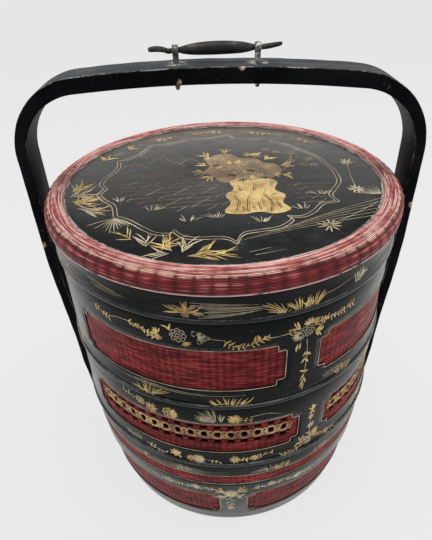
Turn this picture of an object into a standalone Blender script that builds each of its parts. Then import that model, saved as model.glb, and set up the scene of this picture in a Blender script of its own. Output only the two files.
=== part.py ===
"""Tiered bamboo food basket: a lid, two trays and a base tier stacked under a bent handle.

Metres, +Z up. The origin is the middle of the foot ring's underside. The handle stands in the
XZ plane, and the basket's front faces -Y. Azimuths are counted from the front towards +X.
"""

from math import ceil, cos, floor, pi, radians, sin

import bmesh
import bpy
from mathutils import Matrix, Vector

# Gaps between neighbours
FIT_GAP = 0.0003
RUN_GAP = 0.0009
CUT_OVERRUN = 0.004
WELD_GAP = 0.00003
AXIS_GAP = 0.00001

# Stack: outer radius over the hoops, and the height of each tier
BODY_R = 0.1667
BASE_H = 0.1289
TIER_2_H = 0.0870
TIER_1_H = 0.0982
LID_BAND_H = 0.0292

# Wall of a tier: a woven wall inside a lacquered facing
FACING_T = 0.0012
WEAVE_T = 0.0020
WAIST_INSET = 0.0022
FLARE_INSET = 0.0005
TOP_INSET = 0.0030
FOOT_TUCK = 0.0152
FLARE_SHARE = 0.22
RECESS_SHARE = 0.16
SKIN_STEP = 0.0240

# Hoop under each tier, with a ledge that carries the floor
HOOP_H = 0.0045
HOOP_EDGE = 0.0008
LEDGE_T = 0.0024
LEDGE_W = 0.0050
FLOOR_T = 0.0030
FLOOR_EDGE = 0.0006

# Lip that stands out of a tier and steers the one above
LIP_T = 0.0022
LIP_RISE = 0.0065
LIP_GRIP = 0.0160

# Foot ring of the base
FOOT_H = 0.0100
FOOT_W = 0.0150

# Plain woven band round the base, under the upper facing
UPPER_FACING_H = 0.0187
BAND_H = 0.0142
BAND_SINK = 0.0004

# Panels: four windows in each facing, in two pairs, front and back
PANEL_NOTCH = 0.0076
PANEL_STEP = radians(7.5)
TIER_1_PANEL_RISE = 0.0230
TIER_1_PANEL_H = 0.0455
TIER_1_TURN = radians(21.5)
TIER_1_GAP = radians(11.4)
TIER_1_SIDE_GAP = radians(32.6)
TIER_2_PANEL_RISE = 0.0226
TIER_2_PANEL_H = 0.0412
TIER_2_TURN = radians(27.3)
TIER_2_GAP = radians(10.4)
TIER_2_SIDE_GAP = radians(17.6)
BASE_PANEL_RISE = 0.0240
BASE_PANEL_H = 0.0460
BASE_TURN = 0.0
BASE_GAP = radians(11.0)
BASE_SIDE_GAP = radians(17.0)

# Openwork of the second tier: two rows of slots in each panel
SLOT_W = 0.0062
SLOT_H = 0.0042
SLOT_PITCH = 0.0124
SLOT_MARGIN = 0.0050
SLOT_MIDDLE_RISE = 0.0472
SLOT_ROW_OFFSET = 0.0103

# Lid: frame, board and the woven roll round its edge
LID_BAND_T = 0.0034
LID_BAND_INSET = 0.0006
LID_FRAME_H = 0.0085
LID_FRAME_W = 0.0265
LID_BOARD_T = 0.0040
LID_BOARD_EDGE = 0.0006
ROLL_W = 0.0193
ROLL_OUT = 0.0030
ROLL_RISE = 0.0070
ROLL_COVER = 0.0030

# Bent handle: one strap, its legs pegged to the base
STRAP_W = 0.0360
LEG_T = 0.0096
CROWN_T = 0.0138
HANDLE_SPREAD = 0.0088
HANDLE_RISE = 0.1628
SHOULDER_R = 0.0700
CROWN_DROP = 0.0055
SHOULDER_LEAN = 0.0033
LEG_STRAIGHT_DROP = 0.0150
LEG_CLEAR = 0.0006
LEG_END_Z = 0.0200
STRAP_EDGE = 0.0014

# Pegs through the legs
PEG_R = 0.0030
PEG_PROUD = 0.0012
PEG_INSIDE = 0.0020
PEG_TIP = 0.0006
PEG_OVER_END = 0.0200
PEG_UNDER_BAND = 0.0107

# Eye pins and the grip that turns in them
EYE_SPACING = 0.0690
EYE_SHIFT = 0.0017
EYE_RISE = 0.0106
EYE_R = 0.0028
EYE_T = 0.0014
PIN_W = 0.0050
PIN_T = 0.0032
PIN_TAIL = 0.0080
GRIP_TAIL = 0.0208
GRIP_R = 0.0053
GRIP_GAP = 0.00065

# Counts
RING_STEPS = 40
SHOULDER_STEPS = 10
CROWN_STEPS = 8
LEG_STEPS = 7
LEG_FOOT_STEPS = 3
LEG_SEAT_STEPS = 2
PEG_SIDES = 12
EYE_STEPS = 20
SMOOTH_ANGLE = radians(35)

# Grip from its left tip to its right tip. First its place along: 1 is an eye's middle and 2 a
# tail's length beyond. Then its rise, as a share of its greatest radius, and its thickness: 0 is
# its neck in the eye, 1 is its greatest radius, and below 0 it is thinner than the neck.
GRIP_SHARES = (
    (-2.080, 0.20, -0.27),
    (-2.000, 0.22, -0.06),
    (-1.740, 0.26, 0.05),
    (-1.480, 0.14, 0.02),
    (-1.270, -0.12, 0.00),
    (-1.120, -0.04, -0.02),
    (-0.930, 0.00, 0.00),
    (-0.800, 0.00, 0.32),
    (-0.590, 0.05, 0.71),
    (-0.290, 0.10, 0.94),
    (0.000, 0.12, 1.00),
    (0.290, 0.10, 0.94),
    (0.590, 0.05, 0.73),
    (0.810, 0.00, 0.33),
    (0.930, 0.00, 0.01),
    (1.140, 0.00, 0.00),
    (1.380, 0.06, 0.02),
    (1.690, 0.22, -0.05),
    (1.890, 0.34, -0.16),
    (1.970, 0.39, -0.32),
)

# The woven roll's section: how far out from the lid board's edge, as a share of its width,
# and how high over the frame, as a share of its crest
ROLL_SHARES = (
    (0.00, 0.55),
    (0.12, 0.86),
    (0.40, 1.00),
    (0.70, 0.80),
    (0.92, 0.30),
    (1.00, -0.40),
)

# Radii and places that follow from the sizes above
WALL_R_IN = FACING_T + FIT_GAP + WEAVE_T
LIP_R = BODY_R - TOP_INSET - WALL_R_IN - FIT_GAP
HOOP_R_IN = LIP_R + RUN_GAP
LEDGE_LOW = LIP_RISE + RUN_GAP
LEDGE_HIGH = LEDGE_LOW + LEDGE_T
TIER_2_Z = BASE_H + FIT_GAP
TIER_1_Z = TIER_2_Z + TIER_2_H + FIT_GAP
LID_Z = TIER_1_Z + TIER_1_H + FIT_GAP
BAND_RISE = BASE_H - UPPER_FACING_H - FIT_GAP - BAND_H
BAND_R = BODY_R - LID_BAND_INSET
LID_BOARD_R = BAND_R + ROLL_OUT - ROLL_W
LEG_SEAT_Z = TIER_2_Z + HOOP_H
LEG_SEAT_R = BODY_R + LEG_CLEAR + LEG_T
LEG_STRAIGHT_Z = LID_Z - LEG_STRAIGHT_DROP
HANDLE_HALF_SPAN = LEG_SEAT_R + HANDLE_SPREAD
HANDLE_TOP = LEG_STRAIGHT_Z + HANDLE_RISE
PEG_HEIGHTS = (LEG_END_Z + PEG_OVER_END, BAND_RISE - PEG_UNDER_BAND)
NECK_R = EYE_R - GRIP_GAP
EYE_Z = HANDLE_TOP + EYE_RISE
PIN_HOLE_R = (PIN_W**2 + PIN_T**2) ** 0.5 / 2 + FIT_GAP

COLOURS = {
    "black_lacquer": ((0.028, 0.030, 0.031), 0.34, 0.0),
    "red_weave": ((0.250, 0.030, 0.028), 0.55, 0.0),
    "red_edging": ((0.360, 0.075, 0.068), 0.55, 0.0),
    "inner_lacquer": ((0.120, 0.016, 0.014), 0.45, 0.0),
    "black_bamboo": ((0.020, 0.020, 0.022), 0.38, 0.0),
    "iron": ((0.200, 0.195, 0.190), 0.50, 0.9),
    "old_bamboo": ((0.120, 0.070, 0.035), 0.60, 0.0),
}


def clear_scene():
    for obj in list(bpy.data.objects):
        bpy.data.objects.remove(obj)


def new_collection(name):
    collection = bpy.data.collections.new(name)
    bpy.context.scene.collection.children.link(collection)
    return collection


def material(name, finish):
    colour, roughness, metallic = COLOURS[finish]
    made = bpy.data.materials.new(name)
    made.use_nodes = True
    shader = made.node_tree.nodes["Principled BSDF"]
    shader.inputs["Base Color"].default_value = (*colour, 1.0)
    shader.inputs["Roughness"].default_value = roughness
    shader.inputs["Metallic"].default_value = metallic
    made.diffuse_color = (*colour, 1.0)
    return made


def add_node(name, mesh, finish, parent):
    """A named piece of the basket, riding on the empty of its tier."""
    mesh.name = name
    mesh.materials.clear()
    mesh.materials.append(material(name, finish))
    mesh.shade_smooth()
    mesh.set_sharp_from_angle(angle=SMOOTH_ANGLE)
    obj = bpy.data.objects.new(name, mesh)
    obj.parent = parent
    parts.objects.link(obj)
    return obj


def add_empty(name, place, parent=None):
    empty = bpy.data.objects.new(name, None)
    empty.empty_display_size = BODY_R
    empty.location = place
    empty.parent = parent
    parts.objects.link(empty)
    return empty


def real_mesh(obj):
    """The evaluated mesh of a helper object, in world space, with loose caps welded."""
    bpy.context.view_layer.update()
    seen = obj.evaluated_get(bpy.context.evaluated_depsgraph_get())
    mesh = bpy.data.meshes.new_from_object(seen)
    mesh.transform(obj.matrix_world)
    bpy.data.objects.remove(obj)
    bm = bmesh.new()
    bm.from_mesh(mesh)
    bmesh.ops.remove_doubles(bm, verts=bm.verts, dist=WELD_GAP)
    bmesh.ops.recalc_face_normals(bm, faces=bm.faces)
    bm.to_mesh(mesh)
    bm.free()
    return mesh


def turned_mesh(profile, closed=True):
    """Turns (radius, height) points round Z. They run down the outer side first."""
    mesh = bpy.data.meshes.new("profile")
    count = len(profile)
    edges = [(i, (i + 1) % count) for i in range(count if closed else count - 1)]
    mesh.from_pydata([(r, 0.0, z) for r, z in profile], edges, [])
    helper = bpy.data.objects.new("profile", mesh)
    parts.objects.link(helper)
    screw = helper.modifiers.new("turn", "SCREW")
    screw.steps = screw.render_steps = RING_STEPS
    screw.use_merge_vertices = True
    screw.merge_threshold = AXIS_GAP
    return real_mesh(helper)


def ring(name, profile, finish, parent):
    return add_node(name, turned_mesh(profile), finish, parent)


def disc(name, radius, low, high, edge, finish, parent):
    """A round board with its rims eased."""
    profile = [
        (0.0, high),
        (radius - edge, high),
        (radius, high - edge),
        (radius, low + edge),
        (radius - edge, low),
        (0.0, low),
    ]
    return add_node(name, turned_mesh(profile, closed=False), finish, parent)


def box_profile(r_in, r_out, low, high):
    return [(r_out, high), (r_out, low), (r_in, low), (r_in, high)]


def shell_profile(radius_at, low, high, outside, inside):
    """A ring that follows a tier's skin: its two faces lie this far in from radius_at(z)."""
    heights = stops(low, high, SKIN_STEP)
    down = [(radius_at(z) - outside, z) for z in reversed(heights)]
    up = [(radius_at(z) - inside, z) for z in heights]
    return down + up


def evenly(start, end, count):
    return [start + (end - start) * i / count for i in range(count + 1)]


def stops(start, end, step):
    """Even places from start to end, no further apart than step."""
    return evenly(start, end, max(1, ceil((end - start) / step)))


def polar(radius, azimuth, z):
    return Vector((radius * sin(azimuth), -radius * cos(azimuth), z))


def cut(target, cutter_mesh, name):
    """Takes a cutter, which may hold many closed bodies, out of a piece."""
    cutter = bpy.data.objects.new(name, cutter_mesh)
    cutter.parent = target.parent
    cutter.hide_render = True
    cutter.display_type = "WIRE"
    cutters.objects.link(cutter)
    boolean = target.modifiers.new(name, "BOOLEAN")
    boolean.object = cutter
    boolean.solver = "EXACT"


def mesh_from(bm, name):
    bmesh.ops.recalc_face_normals(bm, faces=bm.faces)
    mesh = bpy.data.meshes.new(name)
    bm.to_mesh(mesh)
    bm.free()
    return mesh


def recess(share):
    """How much of the top inset holds at this share of a tier's height."""
    return max(0.0, (share - 1.0 + RECESS_SHARE) / RECESS_SHARE) ** 2


def tray_radius(height):
    """Skin of a tray: waisted, flared to its hoop, tucked in under the tier above."""

    def radius_at(z):
        share = z / height
        flare = max(0.0, 1.0 - share / FLARE_SHARE) ** 2
        inset = WAIST_INSET + (FLARE_INSET - WAIST_INSET) * flare
        return BODY_R - inset - (TOP_INSET - WAIST_INSET) * recess(share)

    return radius_at


def base_radius(z):
    """Skin of the base: it draws in towards the foot."""
    share = z / BASE_H
    tuck = FOOT_TUCK * (1.0 - share) ** 2
    return BODY_R - WAIST_INSET - tuck - (TOP_INSET - WAIST_INSET) * recess(share)


def panel_span(gap, side_gap):
    """Each panel's angle: a pair fills half the ring, but for the gaps between and beside."""
    return (pi - gap - side_gap) / 2


def panel_centres(turn, gap, span):
    """Azimuths of the four panels: a pair beside a narrow gap in front, and one behind."""
    half = (gap + span) / 2
    return [turn + side * half + back for back in (0.0, pi) for side in (-1, 1)]


def add_notched_window(bm, centre, span, low, high, radius):
    """A bent plaque with a square notch in each corner, through the facing."""
    notch = PANEL_NOTCH / radius
    start = centre - span / 2
    end = centre + span / 2
    columns = [start] + stops(start + notch, end - notch, PANEL_STEP) + [end]
    rows = [low, low + PANEL_NOTCH, high - PANEL_NOTCH, high]
    inner = radius - CUT_OVERRUN
    outer = BODY_R + CUT_OVERRUN
    grid = bmesh.ops.create_grid(bm, x_segments=len(columns) - 1, y_segments=len(rows) - 1, size=1)
    verts = sorted(grid["verts"], key=lambda v: (round(v.co.y, 4), round(v.co.x, 4)))
    for index, vert in enumerate(verts):
        row, column = divmod(index, len(columns))
        vert.co = polar(inner, columns[column], rows[row])
    corners = [verts[0], verts[len(columns) - 1], verts[-len(columns)], verts[-1]]
    bmesh.ops.delete(bm, geom=corners, context="VERTS")
    faces = list({face for vert in verts if vert.is_valid for face in vert.link_faces})
    grown = bmesh.ops.extrude_face_region(bm, geom=faces, use_keep_orig=True)
    for vert in grown["geom"]:
        if isinstance(vert, bmesh.types.BMVert):
            vert.co.x *= outer / inner
            vert.co.y *= outer / inner


def windows(name, turn, gap, span, low, high, radius):
    bm = bmesh.new()
    for centre in panel_centres(turn, gap, span):
        add_notched_window(bm, centre, span, low, high, radius)
    return mesh_from(bm, name)


def slots(turn, gap, span, radius):
    """Two rows of slots across each panel of the second tier."""
    bm = bmesh.new()
    usable = span * radius - 2 * SLOT_MARGIN
    count = floor(usable / SLOT_PITCH)
    depth = 2 * (CUT_OVERRUN + WEAVE_T)
    for centre in panel_centres(turn, gap, span):
        for i in range(count):
            azimuth = centre + (i - (count - 1) / 2) * SLOT_PITCH / radius
            for side in (-1, 1):
                place = polar(radius, azimuth, SLOT_MIDDLE_RISE + side * SLOT_ROW_OFFSET)
                size = Matrix.Diagonal((SLOT_W, depth, SLOT_H, 1.0))
                turned = Matrix.Translation(place) @ Matrix.Rotation(azimuth, 4, "Z") @ size
                bmesh.ops.create_cube(bm, size=1.0, matrix=turned)
    return mesh_from(bm, "slots")


def hoop_profile():
    """Section of a tier's hoop: a bead whose inside runs on the lip below."""
    return [
        (BODY_R - HOOP_EDGE, HOOP_H),
        (BODY_R, HOOP_H - HOOP_EDGE),
        (BODY_R, HOOP_EDGE),
        (BODY_R - HOOP_EDGE, 0.0),
        (HOOP_R_IN, 0.0),
        (HOOP_R_IN, HOOP_H),
    ]


def ledged_hoop_profile(ledge_r):
    """The same bead with a ledge over the lip, which carries the floor."""
    ledge_in = HOOP_R_IN - LEDGE_W
    ledge = [(HOOP_R_IN, LEDGE_LOW), (ledge_in, LEDGE_LOW), (ledge_in, LEDGE_HIGH)]
    return [(ledge_r, LEDGE_HIGH), (ledge_r, HOOP_H)] + hoop_profile()[:-1] + ledge


def lip(name, height, parent):
    low = height - LIP_GRIP
    high = height + LIP_RISE
    ring(name, box_profile(LIP_R - LIP_T, LIP_R, low, high), "inner_lacquer", parent)


def make_tray(name, height, turn, gap, span, panel_low, panel_h, parent):
    """One tray: hoop, floor, woven wall, lacquered facing with four windows, and lip."""
    radius_at = tray_radius(height)
    low = HOOP_H + FIT_GAP
    floor_low = LEDGE_HIGH + FIT_GAP
    ledge_r = radius_at(LEDGE_HIGH) - WALL_R_IN - FIT_GAP
    ring(f"{name}_foot_hoop", ledged_hoop_profile(ledge_r), "black_lacquer", parent)
    floor_r = min(radius_at(z) for z in (floor_low, floor_low + FLOOR_T)) - WALL_R_IN - FIT_GAP
    floor_high = floor_low + FLOOR_T
    disc(f"{name}_floor", floor_r, floor_low, floor_high, FLOOR_EDGE, "inner_lacquer", parent)
    weave = shell_profile(radius_at, low, height, FACING_T + FIT_GAP, WALL_R_IN)
    wall = ring(f"{name}_woven_wall", weave, "red_weave", parent)
    skin = shell_profile(radius_at, low, height, 0.0, FACING_T)
    facing = ring(f"{name}_facing", skin, "black_lacquer", parent)
    middle_r = radius_at(panel_low + panel_h / 2)
    holes = windows("windows", turn, gap, span, panel_low, panel_low + panel_h, middle_r)
    cut(facing, holes, f"{name}_windows")
    lip(f"{name}_lip", height, parent)
    return wall


def make_base(parent):
    """Base tier: foot ring, floor, woven wall, facing in two parts, woven band and lip."""
    foot = shell_profile(base_radius, 0.0, FOOT_H, 0.0, FOOT_W)
    ring("base_foot_ring", foot, "black_lacquer", parent)
    low = FOOT_H + FIT_GAP
    floor_r = base_radius(low) - WALL_R_IN - FIT_GAP
    disc("base_floor", floor_r, low, low + FLOOR_T, FLOOR_EDGE, "inner_lacquer", parent)
    weave = shell_profile(base_radius, low, BASE_H, FACING_T + FIT_GAP, WALL_R_IN)
    wall = ring("base_woven_wall", weave, "red_weave", parent)
    lower = shell_profile(base_radius, low, BAND_RISE - FIT_GAP, 0.0, FACING_T)
    facing = ring("base_lower_facing", lower, "black_lacquer", parent)
    panel_high = BASE_PANEL_RISE + BASE_PANEL_H
    middle_r = base_radius(BASE_PANEL_RISE + BASE_PANEL_H / 2)
    span = panel_span(BASE_GAP, BASE_SIDE_GAP)
    holes = windows("windows", BASE_TURN, BASE_GAP, span, BASE_PANEL_RISE, panel_high, middle_r)
    cut(facing, holes, "base_windows")
    band = shell_profile(base_radius, BAND_RISE, BAND_RISE + BAND_H, BAND_SINK, FACING_T)
    ring("base_woven_band", band, "red_weave", parent)
    upper = shell_profile(base_radius, BAND_RISE + BAND_H + FIT_GAP, BASE_H, 0.0, FACING_T)
    ring("base_upper_facing", upper, "black_lacquer", parent)
    lip("base_lip", BASE_H, parent)
    return wall, facing


def make_lid(parent):
    """Lid: edge hoop, side band, frame, lacquered board, and the woven roll round its edge."""
    ring("lid_edge_hoop", hoop_profile(), "black_lacquer", parent)
    band = box_profile(BAND_R - LID_BAND_T, BAND_R, HOOP_H + FIT_GAP, LID_BAND_H)
    ring("lid_side_band", band, "black_lacquer", parent)
    frame_low = LID_BAND_H + FIT_GAP
    frame_high = frame_low + LID_FRAME_H
    frame = box_profile(BAND_R - LID_FRAME_W, BAND_R, frame_low, frame_high)
    ring("lid_frame", frame, "inner_lacquer", parent)
    board_low = frame_high + FIT_GAP
    board_high = board_low + LID_BOARD_T
    disc(
        "lid_board", LID_BOARD_R, board_low, board_high, LID_BOARD_EDGE, "black_lacquer", parent
    )
    roll_in = LID_BOARD_R + FIT_GAP
    arc = [(roll_in + out * ROLL_W, board_low + up * ROLL_RISE) for out, up in ROLL_SHARES]
    wrap = [
        (BAND_R + ROLL_COVER, frame_low),
        (BAND_R + FIT_GAP, frame_low),
        (BAND_R + FIT_GAP, board_low),
        (roll_in, board_low),
    ]
    ring("lid_rim_roll", arc + wrap, "red_edging", parent)


def ease(share):
    return share * share * (3.0 - 2.0 * share)


def leg_outside(z):
    """Outer face of a leg: it hugs the base, clears the hoops, then spreads to full span."""
    at_base = base_radius(BAND_RISE) + FIT_GAP + LEG_T
    if z >= LEG_SEAT_Z:
        share = min(1.0, (z - LEG_SEAT_Z) / (LEG_STRAIGHT_Z - LEG_SEAT_Z))
        return LEG_SEAT_R + HANDLE_SPREAD * ease(share)
    if z >= BAND_RISE:
        share = (z - BAND_RISE) / (LEG_SEAT_Z - BAND_RISE)
        return at_base + (LEG_SEAT_R - at_base) * share
    return base_radius(z) + FIT_GAP + LEG_T


def half_strap():
    """(outer, inner) points of the strap's right half, from the leg's end to the crown."""
    low = evenly(LEG_END_Z, BAND_RISE, LEG_FOOT_STEPS)[:-1]
    seat = evenly(BAND_RISE, LEG_SEAT_Z, LEG_SEAT_STEPS)[:-1]
    high = evenly(LEG_SEAT_Z, LEG_STRAIGHT_Z, LEG_STEPS)
    outer = [(leg_outside(z), z) for z in low + seat + high]
    inner = [(x - LEG_T, z) for x, z in outer]
    crown_x = HANDLE_HALF_SPAN - SHOULDER_R
    slope = 2 * CROWN_DROP / crown_x
    centre_z = HANDLE_TOP - CROWN_DROP - SHOULDER_R
    for i in range(SHOULDER_STEPS + 1):
        angle = (pi / 2 - slope) * i / SHOULDER_STEPS
        thick = LEG_T + (CROWN_T - LEG_T) * i / SHOULDER_STEPS
        way = Vector((cos(angle), sin(angle)))
        point = Vector((crown_x, centre_z)) + SHOULDER_R * way
        outer.append(tuple(point))
        inner.append(tuple(point - thick * way))
    last_x, last_z = outer[-1]
    inner_x = inner[-1][0]
    drop = HANDLE_TOP - last_z
    for i in range(1, CROWN_STEPS + 1):
        x = last_x * (1 - i / CROWN_STEPS)
        z = HANDLE_TOP - drop * (x / last_x) ** 2
        outer.append((x, z))
        inner.append((x * inner_x / last_x, z - CROWN_T))
    return outer, inner


def lean(point, side):
    """The hand-bent crown sits a little lower on its right shoulder."""
    x, z = point
    share = max(0.0, min(1.0, (z - LEG_STRAIGHT_Z) / (HANDLE_TOP - SHOULDER_R - LEG_STRAIGHT_Z)))
    return Vector((side * x, z - side * share * SHOULDER_LEAN * x / HANDLE_HALF_SPAN, 0.0))


def eye_x(side):
    """The pins were driven a little to the left of the crown's middle."""
    return side * EYE_SPACING / 2 - EYE_SHIFT


def strap_outline():
    outer, inner = half_strap()
    right = [lean(point, 1) for point in outer]
    left = [lean(point, -1) for point in reversed(outer[:-1])]
    left_in = [lean(point, -1) for point in inner[:-1]]
    right_in = [lean(point, 1) for point in reversed(inner)]
    return right + left + left_in + right_in


def plate_mesh(outlines, thickness, stand):
    """Flat outlines, filled and given a thickness, stood up by a matrix."""
    curve = bpy.data.curves.new("outline", "CURVE")
    curve.dimensions = "2D"
    curve.fill_mode = "BOTH"
    curve.extrude = thickness / 2
    for outline in outlines:
        spline = curve.splines.new("POLY")
        spline.points.add(len(outline) - 1)
        for point, place in zip(spline.points, outline):
            point.co = (*place, 1.0)
        spline.use_cyclic_u = True
    helper = bpy.data.objects.new("outline", curve)
    helper.matrix_world = stand
    parts.objects.link(helper)
    return real_mesh(helper)


def rod(bm, radius, start, end, sides):
    """A closed cylinder between two points."""
    way = end - start
    turn = way.to_track_quat("Z", "Y").to_matrix().to_4x4()
    place = Matrix.Translation((start + end) / 2) @ turn
    bmesh.ops.create_cone(
        bm,
        cap_ends=True,
        segments=sides,
        radius1=radius,
        radius2=radius,
        depth=way.length,
        matrix=place,
    )


def peg_ends(z, side):
    outside = leg_outside(z) + PEG_PROUD
    inside = base_radius(z) - WALL_R_IN - PEG_INSIDE
    return Vector((side * outside, 0.0, z)), Vector((side * inside, 0.0, z))


def peg_holes():
    bm = bmesh.new()
    for side in (-1, 1):
        for z in PEG_HEIGHTS:
            start, end = peg_ends(z, side)
            over = Vector((side * CUT_OVERRUN, 0.0, 0.0))
            rod(bm, PEG_R + FIT_GAP, start + over, end - over, PEG_SIDES)
    return mesh_from(bm, "peg_holes")


def make_pegs(parent):
    """Two bamboo pegs hold each leg to the base."""
    for side, label in ((-1, "left"), (1, "right")):
        for z, level in zip(PEG_HEIGHTS, ("lower", "upper")):
            bm = bmesh.new()
            rod(bm, PEG_R, *peg_ends(z, side), PEG_SIDES)
            name = f"{label}_leg_{level}_peg"
            peg = add_node(name, mesh_from(bm, name), "old_bamboo", parent)
            bevel = peg.modifiers.new("eased ends", "BEVEL")
            bevel.width = PEG_TIP
            bevel.segments = 1


def make_handle(parent):
    """The bent strap, with holes for its two eye pins and four pegs."""
    upright = Matrix.Rotation(pi / 2, 4, "X")
    mesh = plate_mesh([strap_outline()], STRAP_W, upright)
    strap = add_node("handle_strap", mesh, "black_bamboo", parent)
    bevel = strap.modifiers.new("worn edges", "BEVEL")
    bevel.width = STRAP_EDGE
    bevel.segments = 1
    bevel.angle_limit = radians(50)
    cut(strap, peg_holes(), "strap_peg_holes")
    bm = bmesh.new()
    for side in (-1, 1):
        top = Vector((eye_x(side), 0.0, HANDLE_TOP + CUT_OVERRUN))
        bottom = Vector((eye_x(side), 0.0, HANDLE_TOP - CROWN_T - CUT_OVERRUN))
        rod(bm, PIN_HOLE_R, top, bottom, PEG_SIDES)
    cut(strap, mesh_from(bm, "pin_holes"), "strap_pin_holes")


def eye_outline():
    """Keyhole outline of an eye pin: a ring, and a shank that ends below the strap."""
    ring_r = EYE_R + EYE_T
    half = PIN_T / 2
    open_angle = half / ring_r
    start = -pi / 2 + open_angle
    sweep = 2 * (pi - open_angle)
    arc = [start + sweep * i / EYE_STEPS for i in range(EYE_STEPS + 1)]
    outside = [Vector((ring_r * cos(a), ring_r * sin(a), 0.0)) for a in arc]
    tip = -EYE_RISE - CROWN_T - PIN_TAIL
    outside += [
        Vector((-half, tip + half, 0.0)),
        Vector((-half / 2, tip, 0.0)),
        Vector((half / 2, tip, 0.0)),
        Vector((half, tip + half, 0.0)),
    ]
    turns = [2 * pi * i / EYE_STEPS for i in range(EYE_STEPS)]
    hole = [Vector((EYE_R * cos(a), EYE_R * sin(a), 0.0)) for a in turns]
    return [outside, hole]


def make_eye_pins(parent):
    """Flat iron pins, each bent round into an eye, driven through the strap."""
    for side, label in ((-1, "left"), (1, "right")):
        place = Matrix.Translation((eye_x(side), 0.0, EYE_Z))
        stand = place @ Matrix.Rotation(pi / 2, 4, "Z") @ Matrix.Rotation(pi / 2, 4, "X")
        mesh = plate_mesh(eye_outline(), PIN_W, stand)
        add_node(f"{label}_eye_pin", mesh, "iron", parent)


def make_grip(parent):
    """The shuttle-shaped grip, a tube of changing radius that passes through both eyes."""
    curve = bpy.data.curves.new("grip", "CURVE")
    curve.dimensions = "3D"
    curve.bevel_depth = NECK_R
    curve.bevel_resolution = 2
    curve.use_fill_caps = True
    spline = curve.splines.new("POLY")
    spline.points.add(len(GRIP_SHARES) - 1)
    for point, (along, rise, thick) in zip(spline.points, GRIP_SHARES):
        between = max(-1.0, min(1.0, along))
        x = between * EYE_SPACING / 2 + (along - between) * GRIP_TAIL
        point.co = (x, 0.0, rise * GRIP_R, 1.0)
        point.radius = 1.0 + thick * (GRIP_R - NECK_R) / NECK_R
    helper = bpy.data.objects.new("grip", curve)
    parts.objects.link(helper)
    add_node("grip", real_mesh(helper), "black_bamboo", parent)


def build():
    base = add_empty("base_place", (0.0, 0.0, 0.0))
    tier_2 = add_empty("tier_2_lift", (0.0, 0.0, TIER_2_Z), base)
    tier_1 = add_empty("tier_1_lift", (0.0, 0.0, TIER_1_Z - TIER_2_Z), tier_2)
    lid = add_empty("lid_lift", (0.0, 0.0, LID_Z - TIER_1_Z), tier_1)
    grip_axis = add_empty("grip_axis", (-EYE_SHIFT, 0.0, EYE_Z), base)

    wall, facing = make_base(base)
    cut(wall, peg_holes(), "wall_peg_holes")
    cut(facing, peg_holes(), "facing_peg_holes")

    turn, gap, span = TIER_2_TURN, TIER_2_GAP, panel_span(TIER_2_GAP, TIER_2_SIDE_GAP)
    low, height = TIER_2_PANEL_RISE, TIER_2_PANEL_H
    openwork = make_tray("tier_2", TIER_2_H, turn, gap, span, low, height, tier_2)
    wall_r = tray_radius(TIER_2_H)(SLOT_MIDDLE_RISE) - FACING_T - FIT_GAP - WEAVE_T / 2
    cut(openwork, slots(turn, gap, span, wall_r), "tier_2_slots")

    turn, gap, span = TIER_1_TURN, TIER_1_GAP, panel_span(TIER_1_GAP, TIER_1_SIDE_GAP)
    low, height = TIER_1_PANEL_RISE, TIER_1_PANEL_H
    make_tray("tier_1", TIER_1_H, turn, gap, span, low, height, tier_1)

    make_lid(lid)
    make_handle(base)
    make_pegs(base)
    make_eye_pins(base)
    make_grip(grip_axis)
    bpy.context.view_layer.update()


clear_scene()
parts = new_collection("tiered_food_basket")
cutters = new_collection("cutters")
cutters.hide_render = True
build()
print("pieces:", len([obj for obj in parts.objects if obj.type == "MESH"]))
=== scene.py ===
# %% [markdown]
# # Dressing a tiered bamboo food basket
#
# The solid model gives this basket its right sizes and its moving parts. This lesson gives it its
# looks: black lacquer that has worn, red weaving made of real strands, a row of gilt rings, and
# gold painting. Each piece is made in the solid model's own frame, in metres, +Z up, with the
# front towards -Y, and then rides on the body that carries it.

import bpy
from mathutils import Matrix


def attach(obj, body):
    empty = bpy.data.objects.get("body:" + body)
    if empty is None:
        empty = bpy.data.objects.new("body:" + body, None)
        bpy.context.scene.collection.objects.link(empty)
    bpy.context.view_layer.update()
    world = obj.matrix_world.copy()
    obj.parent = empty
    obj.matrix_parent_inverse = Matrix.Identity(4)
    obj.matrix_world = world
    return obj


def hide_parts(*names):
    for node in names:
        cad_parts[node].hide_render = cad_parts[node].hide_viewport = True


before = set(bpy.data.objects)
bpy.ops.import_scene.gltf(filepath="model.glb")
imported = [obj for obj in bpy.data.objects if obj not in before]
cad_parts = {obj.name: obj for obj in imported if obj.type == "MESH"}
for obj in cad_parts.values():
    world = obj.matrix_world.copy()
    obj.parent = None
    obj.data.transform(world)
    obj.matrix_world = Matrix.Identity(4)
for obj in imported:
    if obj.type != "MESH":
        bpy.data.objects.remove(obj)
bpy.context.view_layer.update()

# %% The other tools of this lesson
import random
from math import atan2, ceil, cos, degrees, hypot, pi, radians, sin

import bmesh
import bpy
import numpy as np
from mathutils import Matrix, Vector
from mathutils.geometry import delaunay_2d_cdt

# %% [markdown]
# ## Measurements
#
# The basket is a stack: a base tier, two trays and a lid. Every tier is round, so its shape is a
# radius that changes with height. A reader could model each tier by hand, but two small functions
# say it once, and every skin, weave and painted leaf is laid on them.

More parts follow.
